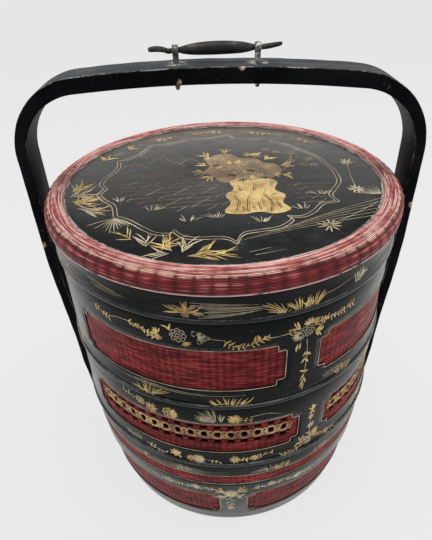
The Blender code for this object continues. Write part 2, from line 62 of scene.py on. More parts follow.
# %% Sizes of the stack
BODY_R = 0.1667
BASE_H, TIER_2_H, TIER_1_H, LID_BAND_H = 0.1289, 0.0870, 0.0982, 0.0292
FIT_GAP, RUN_GAP = 0.0003, 0.0009
FACING_T, WEAVE_T = 0.0012, 0.0020
WAIST, FLARE, TOP_INSET, FOOT_TUCK = 0.0022, 0.0005, 0.0030, 0.0152
HOOP_H, LEDGE_LOW, LEDGE_TOP = 0.0045, 0.0074, 0.0098
FLOOR_T, FOOT_H, BAND_LOW, BAND_HIGH = 0.0030, 0.0100, 0.0957, 0.1099
FOOT_W, LIP_T, LIP_GRIP, LIP_RISE = 0.0150, 0.0022, 0.0160, 0.0065
WALL_IN = FACING_T + FIT_GAP + WEAVE_T
LIP_R = BODY_R - TOP_INSET - WALL_IN - FIT_GAP
HOOP_IN = LIP_R + RUN_GAP
TIER_2_Z = BASE_H + FIT_GAP
TIER_1_Z = TIER_2_Z + TIER_2_H + FIT_GAP
LID_Z = TIER_1_Z + TIER_1_H + FIT_GAP
STACK_Z = {"base": 0.0, "tier_2": TIER_2_Z, "tier_1": TIER_1_Z, "lid": LID_Z}
TALL = {"base": BASE_H, "tier_2": TIER_2_H, "tier_1": TIER_1_H}
print("tiers stand at", {name: round(z, 4) for name, z in STACK_Z.items()})


# %% Radius of each tier at a height over its own foot
def recess(share):
    return np.maximum(0.0, (share - 0.84) / 0.16) ** 2


def tray_radius(height):
    def radius_at(z):
        share = np.asarray(z) / height
        flare = np.maximum(0.0, 1.0 - share / 0.22) ** 2
        return BODY_R - WAIST + (WAIST - FLARE) * flare - (TOP_INSET - WAIST) * recess(share)

    return radius_at


def base_radius(z):
    share = np.asarray(z) / BASE_H
    tuck = FOOT_TUCK * (1.0 - share) ** 2
    return BODY_R - WAIST - tuck - (TOP_INSET - WAIST) * recess(share)


SKIN = {"base": base_radius, "tier_2": tray_radius(TIER_2_H), "tier_1": tray_radius(TIER_1_H)}
print("base is", round(float(base_radius(0.0)) * 2000), "mm across at its foot")

# %% [markdown]
# ## Shader maths as Python
#
# A worn finish is a sum of masks: where strands are high, where noise is strong, near an edge.
# In Blender each sum is a chain of small nodes. Wrapping a node's socket in a class with Python's
# own operators lets a mask be written as a formula, and each operator adds its node.


# %% A socket that can be used in sums
class Wire:
    def __init__(self, socket):
        self.socket = socket

    def node(self, kind, settings=None, sockets=None, out=0):
        return add_node(self.socket.id_data, kind, settings, sockets, out)

    def maths(self, operation, *values):
        return self.node("ShaderNodeMath", {"operation": operation}, dict(enumerate(values)))

    def __add__(self, other):
        return self.maths("ADD", self, other)

    def __sub__(self, other):
        return self.maths("SUBTRACT", self, other)

    def __mul__(self, other):
        return self.maths("MULTIPLY", self, other)

    def __rsub__(self, other):
        return self.maths("SUBTRACT", other, self)

    def __abs__(self):
        return self.maths("ABSOLUTE", self)

    __radd__ = __add__
    __rmul__ = __mul__

    def between(self, low, high):
        """0 below low, 1 above high, and smooth in between. low may be the greater."""
        sockets = {0: self, 1: low, 2: high}
        return self.node("ShaderNodeMapRange", {"interpolation_type": "SMOOTHSTEP"}, sockets)


def add_node(tree, kind, settings=None, sockets=None, out=0):
    node = tree.nodes.new(kind)
    for name, value in (settings or {}).items():
        setattr(node, name, value)
    for name, value in (sockets or {}).items():
        if isinstance(value, Wire):
            tree.links.new(value.socket, node.inputs[name])
        else:
            node.inputs[name].default_value = value
    return Wire(node.outputs[out]) if node.outputs else node


# %% A finish: one material, its coordinates, and the nodes that most finishes share
class Finish:
    def __init__(self, name):
        self.material = bpy.data.materials.new(name)
        self.material.use_nodes = True
        self.tree = self.material.node_tree
        self.shader = self.tree.nodes["Principled BSDF"]
        self.place = add_node(self.tree, "ShaderNodeTexCoord", out=3)
        split = self.place.node("ShaderNodeSeparateXYZ", sockets={0: self.place}).socket.node
        self.y, self.z = (Wire(split.outputs[k]) for k in (1, 2))

    def stretch(self, x, y, z):
        settings = {"operation": "MULTIPLY"}
        return self.place.node("ShaderNodeVectorMath", settings, {0: self.place, 1: (x, y, z)})

    def noise(self, scale, detail, vector=None, roughness=0.55):
        sockets = {"Vector": vector or self.place, "Scale": scale, "Detail": detail}
        sockets["Roughness"] = roughness
        return self.place.node("ShaderNodeTexNoise", sockets=sockets)

    def mix(self, factor, first, second):
        first, second = (c if isinstance(c, Wire) else (*c, 1.0) for c in (first, second))
        sockets = {0: factor, 6: first, 7: second}
        return self.place.node("ShaderNodeMix", {"data_type": "RGBA"}, sockets, out=2)

    def ground(self, mask, first, second):
        """The first coat: one colour where a mask is low, and another where it is high."""
        self.colour = self.mix(mask, first, second)

    def lay(self, mask, colour):
        """Lays a colour over the coats before it where a mask is high."""
        self.colour = self.mix(mask, self.colour, colour)

    def mesh_value(self, name):
        return add_node(self.tree, "ShaderNodeAttribute", {"attribute_name": name}, out=2)

    def near(self, middle, reach):
        """1 at a point of the object, falling to 0 at a distance from it."""
        settings = {"operation": "DISTANCE"}
        sockets = {0: self.place, 1: middle}
        away = self.place.node("ShaderNodeVectorMath", settings, sockets, out=1)
        return away.between(reach, reach * 0.45)

    def glancing(self, most):
        """Rises where the surface is seen at a low angle, for gloss."""
        facing = add_node(self.tree, "ShaderNodeLayerWeight", {}, {"Blend": 0.5}, out=1)
        return facing.between(0.42, 0.85) * most

    def bump(self, height, distance, strength):
        sockets = {"Height": height, "Distance": distance, "Strength": strength}
        return self.place.node("ShaderNodeBump", sockets=sockets)

    def finish(self, **sockets):
        for name, value in {"Base_Color": self.colour, **sockets}.items():
            socket = self.shader.inputs[name.replace("_", " ")]
            if isinstance(value, Wire):
                self.tree.links.new(value.socket, socket)
            else:
                socket.default_value = value
        return self.material


print("shader maths ready")

# %% [markdown]
# ## Finishes
#
# The black is lacquer over a thin ground on bamboo. It isn't pure black: it has a green-grey haze,
# fine marks that run round the tier, and pale chips along the hoops where tiers knock together.
# Base colour, roughness and a shallow bump carry that. Under overhangs the colour darkens to painted
# shade, and the lid's board pales to a painted sheen towards its back. A thin coat that rises where
# the surface is seen at a low angle gives the flanks their glare.


# %% Black lacquer, with chips at the heights where this piece knocks against others
def lacquer(
    name, edges=(), dust=0.5, marks=(16, 16, 900), shine=0.32,
    dark=None, pale=0.030, back_sheen=0.0, gloss=0.07, coat=0.9,
):
    """edges are heights of chipped edges, and dark is the height range over which the haze thins out
    and the lacquer darkens to painted shade under an overhang. pale is how light the haze is, milk
    is how much painted sheen lies towards the back, and shine, gloss and coat are the roughness, the
    plain reflection and the glare at low angles."""
    look = Finish(name)
    cloud = look.noise(13, 5)
    streak = look.noise(1.0, 5, look.stretch(*marks), 0.75)
    haze = (cloud - 0.42) * 1.5 + (streak - 0.5) * 1.7
    haze = haze.between(-0.1, 1.0)
    # Under an overhang the haze fades out, so the lacquer darkens there: painted shade.
    if dark:
        haze = haze * look.z.between(dark[1], dark[0])
    look.ground(haze, (0.0045, 0.0050, 0.0055), (pale, pale * 1.04, pale * 1.04))
    rubbed = streak.between(0.56, 0.72) * cloud.between(0.40, 0.66) * haze
    look.lay(rubbed * dust, (0.125, 0.128, 0.120))
    if back_sheen:
        # Paler towards the back (+Y): a painted sheen.
        sheen_mask = look.y.between(-0.11, 0.15) * (cloud + streak * 0.4).between(0.40, 0.95)
        look.lay(sheen_mask * back_sheen, (0.24, 0.22, 0.185))
    speck = look.noise(460, 2)
    look.lay(speck.between(0.70, 0.78) * dust, (0.17, 0.17, 0.16))
    chips = look.noise(24, 7, look.stretch(1, 1, 0.2), 0.8)
    for height in edges:
        near = abs(look.z - height).between(0.0006, 0.0002)
        look.lay(near * chips.between(0.42, 0.66) * 0.55, (0.30, 0.31, 0.32))
    rough = shine + (cloud - 0.5) * 0.22 + (streak - 0.5) * 0.35 + rubbed * 0.25
    relief = streak * 1.1 + look.noise(9, 3) * 2.2 + speck * 0.2
    return look.finish(
        Roughness=rough, Specular_IOR_Level=gloss, Coat_Roughness=0.28,
        Coat_Weight=look.glancing(coat) * streak.between(0.30, 0.60),
        Normal=look.bump(relief, 0.0003, 0.65),
    )


# %% Red weaving: each strand has its own run of light and dark, and its gaps hold painted shade
def weaving(name, deep, red, worn):
    look = Finish(name)
    crest, streak = look.mesh_value("crest"), look.mesh_value("streak")
    patch = look.noise(30, 5, roughness=0.6)
    # Crests are a little lighter and gaps darker: painted shade between strands.
    tone = streak * 1.1 + (patch - 0.5) * 0.35 + crest * 0.2
    look.ground(tone.between(0.20, 1.05), deep, red)
    rub = (streak * 0.6 + crest * 0.3 + patch * 0.4).between(0.72, 1.02)
    look.lay(rub * 0.7, worn)
    # Painted shade in the gaps between strands.
    look.lay(crest.between(0.40, 0.08) * 0.6, (0.020, 0.003, 0.003))
    soot = look.noise(48, 5).between(0.58, 0.74)
    look.lay(soot * 0.35, (0.040, 0.008, 0.008))
    return look.finish(
        Roughness=0.40 + (patch - 0.5) * 0.3, Specular_IOR_Level=0.10,
        Coat_Weight=look.glancing(0.7), Coat_Roughness=0.35,
        Normal=look.bump(streak + crest, 0.0002, 0.4),
    )


# %% The roll's red: a top zone by the board that is worn and lighter as painted light from above, a deeper side zone, and cream along the corner that is rubbing and painted highlight in one
def roll_weaving(name):
    look = Finish(name)
    crest, streak = look.mesh_value("crest"), look.mesh_value("streak")
    zone, knuckle = look.mesh_value("zone"), look.mesh_value("knuckle")
    patch = look.noise(48, 5, roughness=0.62)
    fine = look.noise(170, 6, roughness=0.75)
    tone = streak * 0.7 + (patch - 0.5) * 0.45 + (knuckle - 0.5) * 0.35
    side = look.mix(tone.between(0.05, 0.85), (0.065, 0.006, 0.008), (0.31, 0.034, 0.036))
    # Pale lines along the side's strands: painted highlights.
    side = look.mix((tone + fine * 0.30).between(0.72, 0.96) * 0.75, side, (0.62, 0.25, 0.21))
    # The top zone is lighter than the side: wear, and painted light from overhead.
    top = look.mix(tone.between(0.00, 0.75), (0.24, 0.040, 0.042), (0.56, 0.165, 0.150))
    top = look.mix((streak * 0.7 + fine * 0.7).between(0.60, 0.88), top, (0.74, 0.46, 0.40))
    look.ground(zone.between(0.44, 0.56), side, top)
    # Cream along the corner between the zones: rubbing, and a painted highlight.
    corner = abs(zone - 0.49).between(0.09, 0.02) * knuckle.between(0.15, 0.75)
    rubbed = (fine * 0.6 + streak * 0.6).between(0.42, 0.72)
    look.lay(corner * rubbed * 0.85, (0.72, 0.48, 0.36))
    grey = zone.between(0.86, 0.97) * fine.between(0.40, 0.56) * 0.75
    look.lay(grey, (0.36, 0.31, 0.29))
    # Painted shade in the gaps between strands.
    look.lay(crest.between(0.62, 0.12) * 0.9, (0.040, 0.006, 0.007))
    soot = look.noise(60, 4).between(0.58, 0.74)
    look.lay(soot * 0.35, (0.065, 0.012, 0.014))
    return look.finish(
        Roughness=0.45, Specular_IOR_Level=0.25,
        Normal=look.bump(fine + crest, 0.0002, 0.6),
    )


# %% Plain finishes of the inner faces, the pegs and the iron
def inner_red(name):
    look = Finish(name)
    tone = look.noise(30, 5) + look.noise(1.0, 3, look.stretch(30, 30, 500)) * 0.4
    look.ground(tone.between(0.5, 0.95), (0.050, 0.007, 0.006), (0.15, 0.020, 0.017))
    return look.finish(Roughness=0.42, Normal=look.bump(tone, 0.0003, 0.4))


def raw_bamboo(name):
    look = Finish(name)
    grain = look.noise(1.0, 4, look.stretch(200, 900, 900), 0.65)
    look.ground(grain.between(0.35, 0.7), (0.030, 0.018, 0.011), (0.10, 0.062, 0.036))
    return look.finish(Roughness=0.6, Normal=look.bump(grain, 0.0003, 0.5))


def worn_iron(name, bright):
    look = Finish(name)
    grime = look.noise(260, 5, roughness=0.7)
    look.ground(grime.between(0.38, 0.62), (0.05, 0.045, 0.04), (bright, bright, bright))
    metal = grime.between(0.35, 0.6) * 0.8
    rough = 0.36 + (1 - metal) * 0.3
    return look.finish(Metallic=metal, Roughness=rough, Normal=look.bump(grime, 0.0002, 0.6))


# %% Gold paint, rubbed thin in places, and the paler line of shell gold
def gold_paint(name, bright, dull):
    look = Finish(name)
    worn = look.noise(170, 4, roughness=0.7)
    tone = look.noise(45, 3) * 0.7 + worn * 0.5
    look.ground(tone.between(0.42, 0.76), dull, bright)
    look.lay(worn.between(0.66, 0.74), (0.045, 0.036, 0.024))
    return look.finish(Metallic=0.15, Roughness=0.42)


GOLD = gold_paint("gold_paint", (0.74, 0.54, 0.21), (0.36, 0.22, 0.065))
PALE_GOLD = gold_paint("pale_gold_paint", (0.64, 0.55, 0.37), (0.32, 0.26, 0.155))
BROWN_GOLD = gold_paint("brown_gold_paint", (0.34, 0.21, 0.10), (0.13, 0.078, 0.042))
LINE_GOLD = gold_paint("outline_gold_paint", (0.58, 0.49, 0.34), (0.22, 0.155, 0.10))
INNER_RED = inner_red("inner_red_lacquer")
PANEL_RED = weaving(
    "red_panel_weaving", (0.044, 0.0036, 0.0045), (0.222, 0.014, 0.014), (0.44, 0.072, 0.060)
)
RIM_RED = roll_weaving("red_rim_weaving")
print("finishes:", len(bpy.data.materials))

# %% [markdown]
# ## Making meshes
#
# Most pieces are rings, so a section turned round Z makes them. Weaving and lacquered facings
# follow the same circles, but need their own points. One function turns any of these lists of
# points and faces into a piece, with its finish, on the body that it moves with.


# %% Points on a circle, faces of sheets and tubes, and other small helpers
def around(radius, azimuth, height):
    """Azimuth 0 is the front, and a right angle is the right side."""
    radius, azimuth, height = np.broadcast_arrays(radius, azimuth, height)
    return np.stack([radius * np.sin(azimuth), -radius * np.cos(azimuth), height], -1)


def sheet_faces(rows, columns, round_rows=False, round_columns=False):
    row = np.arange(rows if round_rows else rows - 1)[:, None]
    column = np.arange(columns if round_columns else columns - 1)[None]
    up, over = (row + 1) % rows, (column + 1) % columns
    corners = (row, column), (row, over), (up, over), (up, column)
    return np.stack([r * columns + c for r, c in corners], -1).reshape(-1, 4).tolist()


def tube_faces(rows, sides):
    """Faces of a tube, with a cap on each end."""
    ends = [list(range(sides))[::-1], list(range((rows - 1) * sides, rows * sides))]
    return sheet_faces(rows, sides, False, True) + ends


def unit(vectors):
    return vectors / np.linalg.norm(vectors, axis=1, keepdims=True)


def outward(way):
    """Unit vectors at right angles to a path's way, on the plane that it is drawn on."""
    return unit(np.stack([way[:, 1], -way[:, 0]], -1))


def run_length(path):
    """How far along a path each of its points is."""
    return np.concatenate([[0], np.cumsum(np.linalg.norm(np.diff(path, axis=0), axis=1))])


def wrapped(azimuth):
    return (azimuth + pi) % (2 * pi) - pi


def gather(*meshes):
    """Joins (points, faces) pairs into one pair."""
    points, faces, start = [], [], 0
    for more_points, more_faces in meshes:
        points.append(np.asarray(more_points).reshape(-1, 3))
        faces += [[i + start for i in face] for face in more_faces]
        start += len(points[-1])
    return np.concatenate(points), faces


# %% A piece of the basket
def add_object(name, data):
    made = bpy.data.objects.new(name, data)
    bpy.context.scene.collection.objects.link(made)
    return made


def piece(name, shape, finish, body, stands_for=(), slot=None, weld=False, **values):
    points, faces = shape
    mesh = bpy.data.meshes.new(name)
    mesh.from_pydata(np.asarray(points).reshape(-1, 3).tolist(), [], faces)
    for label, numbers in values.items():
        store = mesh.attributes.new(label, "FLOAT", "POINT")
        store.data.foreach_set("value", np.asarray(numbers, np.float32).ravel())
    if weld:
        bm = bmesh.new()
        bm.from_mesh(mesh)
        bmesh.ops.remove_doubles(bm, verts=bm.verts, dist=1e-6)
        bmesh.ops.recalc_face_normals(bm, faces=bm.faces)
        bm.to_mesh(mesh)
        bm.free()
    mesh.materials.append(finish)
    mesh.shade_smooth()
    mesh.set_sharp_from_angle(angle=radians(42))
    made = add_object(name, mesh)
    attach(made, body)
    if stands_for:
        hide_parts(*stands_for)
    print(f"{name}: {len(mesh.polygons)} faces")
    return made


# %% Turned rings, discs and eased sections
TURN_STEPS = 240


def turned(section):
    """Turns (radius, height) points, listed counter-clockwise, round Z."""
    section = np.asarray(section, float)
    azimuth = np.linspace(-pi, pi, TURN_STEPS, endpoint=False)
    points = around(section[:, :1], azimuth[None], section[:, 1:])
    return points, sheet_faces(len(section), TURN_STEPS, True, True)


def eased(inner, outer, low, high, ease, inner_ease=0.0002):
    """Section of a ring whose edges are rounded."""
    arc = np.linspace(0, pi / 2, 5)
    points = []
    for radius, height, turn, by in (
        (inner + inner_ease, low + inner_ease, -pi, inner_ease),
        (outer - ease, low + ease, -pi / 2, ease),
        (outer - ease, high - ease, 0.0, ease),
        (inner + inner_ease, high - inner_ease, pi / 2, inner_ease),
    ):
        points += [(radius + by * cos(a + turn), height + by * sin(a + turn)) for a in arc]
    return points


def board(radius, low, high):
    return turned(eased(0.0002, radius, low, high, 0.0006, 0.0001))


# %% [markdown]
# ## Hoops, lips, floors and the foot ring
#
# Each tray, and the lid too, has a bent hoop glued round its foot, and a thin lip stands up from
# each tier into the one above. Plain turned rings are right for them. What makes them real is the
# rounded edge, which catches the light, and the chips on it.


# %% Hoops and lips
def hoop_section(low, ledge=None):
    outer = eased(HOOP_IN, BODY_R, low, low + HOOP_H, 0.0015)
    if ledge is None:
        return outer
    ledge_r, ledge_in = float(ledge(LEDGE_TOP)) - WALL_IN - FIT_GAP, HOOP_IN - 0.005
    up = [(ledge_r, low + HOOP_H), (ledge_r, low + LEDGE_TOP)]
    inward = [(ledge_in, low + LEDGE_TOP), (ledge_in, low + LEDGE_LOW)]
    return outer[:15] + up + inward + [(HOOP_IN, low + LEDGE_LOW)]


def hoop_lacquer(tier):
    edges = (STACK_Z[tier] + 0.0042,)
    return lacquer(f"{tier}_hoop_lacquer", edges, shine=0.22, pale=0.018, gloss=0.22)


def floor_board(tier, z):
    radius, low = float(SKIN[tier](z)) - WALL_IN - FIT_GAP, STACK_Z[tier] + z
    shape = board(radius, low, low + FLOOR_T)
    piece(f"{tier}_floor_board", shape, INNER_RED, tier, [f"{tier}_floor"], "inner_lacquer", True)


for tier in ("tier_1", "tier_2"):
    hoop, chipped = turned(hoop_section(STACK_Z[tier], SKIN[tier])), hoop_lacquer(tier)
    piece(f"{tier}_bent_hoop", hoop, chipped, tier, [f"{tier}_foot_hoop"], "black_lacquer")
    floor_board(tier, LEDGE_TOP + FIT_GAP)

for tier in ("tier_1", "tier_2", "base"):
    top = STACK_Z[tier] + TALL[tier]
    section = eased(LIP_R - LIP_T, LIP_R, top - LIP_GRIP, top + LIP_RISE, 0.0008, 0.0008)
    lip = turned(section)
    piece(f"{tier}_standing_lip", lip, INNER_RED, tier, [f"{tier}_lip"], "inner_lacquer")


# %% Foot ring and base floor
def skin_ring(radius_at, low, high, outside, inside, start_z=0.0, count=10):
    z = np.linspace(low, high, count)
    outer = list(zip(radius_at(z) - outside, z + start_z))
    inner = list(zip(radius_at(z) - inside, z + start_z))
    return turned(outer + inner[::-1])


foot_black = lacquer("foot_lacquer", (0.0008, 0.0094), 0.8)
foot = skin_ring(base_radius, 0.0, FOOT_H, 0.0, FOOT_W)
piece("foot_ring", foot, foot_black, "base", ["base_foot_ring"], "black_lacquer")
floor_board("base", FOOT_H + FIT_GAP)

# %% [markdown]
# ## Facings with windows
#
# A lacquered facing wraps each tier, with four long windows whose corners are notched. Their edges
# were cut by hand, so corners are a little round. A Boolean would leave long thin faces that shade
# badly on a curved skin. Drawing the unrolled facing flat, triangulating it round its windows and
# then rolling it up keeps the faces even.

# %% Window layout: degrees of turn, gap and span, then rise and height in metres
WINDOWS = {
    "tier_1": (21.5, 11.4, 68.0, 0.0230, 0.0455),
    "tier_2": (27.3, 10.4, 76.0, 0.0226, 0.0412),
    "base": (0.0, 11.0, 76.0, 0.0240, 0.0460),
}
NOTCH, NOTCH_SHARE, NOTCH_EASE = 0.0076, 0.85, 0.0016


def window_middles(turn, gap, span):
    half = radians(gap + span) / 2
    return [radians(turn) + side * half + back for back in (0.0, pi) for side in (-1, 1)]


def eased_loop(corners, by, step=0.004):
    """A closed outline with its corners rounded and its long sides divided."""
    loop = []
    corners = [np.array(corner) for corner in corners]
    for i, here in enumerate(corners):
        before, after = corners[i - 1], corners[(i + 1) % len(corners)]
        start = here + (before - here) / np.linalg.norm(before - here) * by
        end = here + (after - here) / np.linalg.norm(after - here) * by
        loop += [(1 - t) ** 2 * start + 2 * t * (1 - t) * here + t * t * end for t in (0, 0.5, 1)]
        run = after - (after - here) / np.linalg.norm(after - here) * by
        count = max(1, ceil(np.linalg.norm(run - end) / step))
        loop += [end + (run - end) * k / count for k in range(1, count)]
    return np.array(loop)


def notched(middle, half, low, high):
    """Outline of a window, as (arc length, height) points."""
    left, right = middle - half, middle + half
    a, b, c, d = left, left + NOTCH, right - NOTCH, right
    e, f, g, h = low, low + NOTCH * NOTCH_SHARE, high - NOTCH * NOTCH_SHARE, high
    corners = [(b, e), (c, e), (c, f), (d, f), (d, g), (c, g)]
    corners += [(c, h), (b, h), (b, g), (a, g), (a, f), (b, f)]
    return eased_loop(corners, NOTCH_EASE)


def unrolled_windows(tier):
    """Outlines on a tier's unrolled wall, with the wall's radius and the azimuth at its middle."""
    turn, gap, span, rise, height = WINDOWS[tier]
    radius = float(SKIN[tier](rise + height / 2))
    shift = radians(turn) + pi / 2
    half = radians(span) * radius / 2
    loops = []
    for middle in window_middles(turn, gap, span):
        loops.append(notched(wrapped(middle - shift) * radius, half, rise, rise + height))
    return loops, radius, shift


# %% A flat strip with holes, cut into even triangles, and rolled into a ring
def inside(points, loop):
    """Which points lie in a closed outline."""
    hit = np.zeros(len(points), bool)
    lowest, highest = loop.min(0), loop.max(0)
    near = np.where(((points > lowest) & (points < highest)).all(1))[0]
    x, y = points[near, 0], points[near, 1]
    odd = np.zeros(len(near), bool)
    for (x1, y1), (x2, y2) in zip(loop, np.roll(loop, -1, 0)):
        if y1 != y2:
            odd ^= ((y1 > y) != (y2 > y)) & (x < (x2 - x1) * (y - y1) / (y2 - y1) + x1)
    hit[near] = odd
    return hit


GRID_COLUMNS, GRID_STEP, HOLE_MARGIN = 150, 0.005, 0.0012


def pierced_strip(radius, low, high, holes):
    """Grid points stay clear of each hole's edge, or thin faces would stand beside it."""
    rows, turn = ceil((high - low) / GRID_STEP) + 1, np.linspace(-pi, pi, GRID_COLUMNS + 1)
    arc, z = np.meshgrid(turn * radius, np.linspace(low, high, rows))
    grid = np.stack([arc.ravel(), z.ravel()], -1)
    keep = np.ones(len(grid), bool)
    for hole in holes:
        close = np.abs(grid[:, None] - hole[None]).max(2).min(1) < HOLE_MARGIN
        keep &= ~(close | inside(grid, hole))
    border = np.zeros(arc.shape, bool)
    border[[0, -1], :] = border[:, [0, -1]] = True
    keep |= border.ravel()
    verts, edges = [Vector(p) for p in grid[keep]], []
    for hole in holes:
        first, count = len(verts), len(hole)
        verts += [Vector(p) for p in hole]
        edges += [(first + i, first + (i + 1) % count) for i in range(count)]
    verts, _, faces, *_ = delaunay_2d_cdt(verts, edges, [], 0, 1e-8)
    flat = np.array(verts)
    middles = flat[np.array(faces)].mean(1)
    inner = np.zeros(len(middles), bool)
    for hole in holes:
        inner |= inside(middles, hole)
    return flat, [list(face) for face, cut in zip(faces, inner) if not cut]


# %% Facings of the trays and the base
def thicken(made, thickness):
    solid = made.modifiers.new("sheet thickness", "SOLIDIFY")
    solid.thickness, solid.offset = thickness, -1.0


def facing(name, tier, low, high, finish, stands_for):
    holes, radius, shift = unrolled_windows(tier)
    flat, faces = pierced_strip(radius, low, high, holes)
    azimuth = flat[:, 0] / radius + shift
    points = around(SKIN[tier](flat[:, 1]), azimuth, flat[:, 1] + STACK_Z[tier])
    thicken(piece(name, (points, faces), finish, tier, stands_for, "black_lacquer", True), FACING_T)


def painted_shade_under(top, down_to, up_to):
    """The heights under an overhang between which the haze thins out and the lacquer darkens to
    painted shade.
    """
    return top - down_to, top - up_to


# The top of each tray darkens to painted shade under the tier above.
for tier in ("tier_1", "tier_2"):
    shade_heights = painted_shade_under(STACK_Z[tier] + TALL[tier], 0.020, 0.011)
    black, stands_for = lacquer(f"{tier}_facing_lacquer", (), 0.6, dark=shade_heights), [f"{tier}_facing"]
    low = HOOP_H + FIT_GAP
    facing(f"{tier}_lacquered_facing", tier, low, TALL[tier], black, stands_for)
black = lacquer("base_facing_lacquer", (0.0950,), 0.7)
low, high = FOOT_H + FIT_GAP, BAND_LOW - FIT_GAP
facing("base_lacquered_facing", "base", low, high, black, ["base_lower_facing"])
upper = skin_ring(base_radius, BAND_HIGH + FIT_GAP, BASE_H, 0.0, FACING_T)
# The base's top darkens to painted shade under the tray above.
black = lacquer("upper_facing_lacquer", (), 0.8, dark=painted_shade_under(BASE_H, 0.008, 0.002))
piece("base_upper_lacquer", upper, black, "base", ["base_upper_facing"], "black_lacquer")

# %% [markdown]
# ## Woven walls
#
# Behind the windows lies the wall itself: thin split-bamboo weft, over and under upright stakes.
# At this scale each strand is a little over a millimetre, so it is real relief: a dense sheet of
# points, raised into rounded strands that ride over every second stake. How high each point
# stands is kept on the mesh, and the finish reads it to paint shade into the gaps and rub the
# crests. Over the stakes the panels carry soft painted highlights.

# %% Relief of plain weaving
WEFT, STAKE, CREST, TUCK = 0.0013, 0.0062, 0.00042, 0.0016
STRAND_POINTS, STAKE_POINTS = 4, 4


def weave_height(strand, stake):
    """0 to 1: how far the weaving stands out, for a place counted in strands and stakes."""
    across = strand % 1.0
    ridge = np.sqrt(np.clip(1 - (2 * across - 1) ** 2, 0, 1))
    over = 0.5 + 0.5 * np.cos(pi * (stake + np.floor(strand)))
    return ridge * (0.80 + 0.20 * over)


def strand_streaks(strand, place, seed, run, spread):
    """About 0 to 1: light and dark along each strand, in runs of about the given length."""
    tone = np.random.default_rng(seed)
    index = np.floor(strand).astype(int).ravel()
    total = np.zeros((index.size, place.size))
    for scale in (1.0, 2.3, 5.1):
        phase = tone.uniform(0, 2 * pi, index.max() + 1)[index][:, None]
        pace = tone.uniform(0.7, 1.4, index.max() + 1)[index][:, None]
        total += np.sin(place.ravel()[None] * 2 * pi / run * scale * pace + phase)
    level = tone.uniform(-spread, spread, index.max() + 1)[index][:, None]
    return 0.5 + (total + level) / 7


def woven_patch(radius_at, low, high, start, end, start_z, sink):
    radius = float(radius_at((low + high) / 2))
    strands = max(1, round((high - low) / WEFT))
    stakes = max(1, round((end - start) * radius / STAKE))
    z = np.linspace(low, high, strands * STRAND_POINTS + 1)
    azimuth = np.linspace(start, end, stakes * STAKE_POINTS + 1)
    strand = np.minimum(np.linspace(0, strands, len(z)), strands - 1e-6)[:, None]
    stake = np.linspace(0, stakes, len(azimuth))[None]
    crest = weave_height(strand, stake)
    # Lighter columns over the stakes, carried in the streak values: painted highlights.
    column = 0.18 * np.cos(2 * pi * stake) * (0.70 + 0.30 * np.sin(stake * 0.9))
    seed = int(abs(low) * 1e5 + abs(start) * 1e3)
    streak = strand_streaks(strand, azimuth * radius, seed, 0.110, 0.9) + column
    out = (crest - 1.0) * CREST - sink
    for edge in (0, -1):
        out[edge, :] = out[:, edge] = -sink - TUCK
    points = around(radius_at(z)[:, None] + out, azimuth[None], z[:, None] + start_z)
    return points, sheet_faces(len(z), len(azimuth)), crest, streak


# %% Walls behind plain windows
class Weaving:
    """Gathers woven patches, and keeps how high and how light each point is."""

    def __init__(self, *plain):
        self.shapes, self.crest, self.streak = list(plain), [], []
        for points, _ in plain:
            self.crest.append(np.full(points.size // 3, 0.6))
            self.streak.append(np.full(points.size // 3, 0.4))

    def patch(self, *where):
        *shape, crest, streak = woven_patch(*where)
        self.shapes.append(shape)
        self.crest.append(crest.ravel())
        self.streak.append(streak.ravel())

    def piece(self, name, body, stands_for=(), weld=False):
        values = {"crest": np.concatenate(self.crest), "streak": np.concatenate(self.streak)}
        shape = gather(*self.shapes)
        return piece(name, shape, PANEL_RED, body, stands_for, "red_weave", weld, **values)


BACKING_OUT, WEAVE_SINK = FACING_T + FIT_GAP + 0.0006, FACING_T - 0.0002
LAP_TURN, LAP_RISE = 0.012, 0.0015


def plain_wall(tier, low, high):
    turn, gap, span, rise, height = WINDOWS[tier]
    wall = Weaving(skin_ring(SKIN[tier], low, high, BACKING_OUT, WALL_IN, STACK_Z[tier], 12))
    half = radians(span) / 2 + LAP_TURN
    low, high = rise - LAP_RISE, rise + height + LAP_RISE
    for middle in window_middles(turn, gap, span):
        wall.patch(SKIN[tier], low, high, middle - half, middle + half, STACK_Z[tier], WEAVE_SINK)
    wall.piece(f"{tier}_woven_bamboo_wall", tier, [f"{tier}_woven_wall"])


plain_wall("tier_1", HOOP_H + FIT_GAP, TIER_1_H)
plain_wall("base", FOOT_H + FIT_GAP, BASE_H)

# %% The plain woven band round the base
inner = skin_ring(base_radius, BAND_LOW, BAND_HIGH, FACING_T - 0.0003, FACING_T, 0.0, 5)
band = Weaving(inner)
band.patch(base_radius, BAND_LOW, BAND_HIGH, -pi, pi, 0.0, 0.0003)
band.piece("base_band_weaving", "base", ["base_woven_band"])

# %% [markdown]
# ## The openwork of the lower tray
#
# In the lower tray's windows the weaving opens up: two rows of slots, and between them a chain of
# gilt rings with dark holes. The wall is drawn flat and pierced, as the facings are, the weaving
# above and below is laid on it, and each ring and each knot between rings is bent cane of its own.

# %% Where the holes are
SLOT_PITCH, SLOT_Z, SLOT_OFF = 0.0124, 0.0472, 0.0103
SLOT_W, SLOT_TALL, EYE_W, EYE_TALL = 0.0066, 0.0048, 0.0048, 0.0056
OPEN_TALL, STRIP_GAP = 0.0127, 0.0003
turn, gap, span, rise, height = WINDOWS["tier_2"]
WALL_R = float(SKIN["tier_2"](SLOT_Z)) - FACING_T - FIT_GAP - WEAVE_T / 2
COUNT = int((radians(span) * WALL_R - 0.010) / SLOT_PITCH)
OPEN_HALF = COUNT * SLOT_PITCH / WALL_R / 2


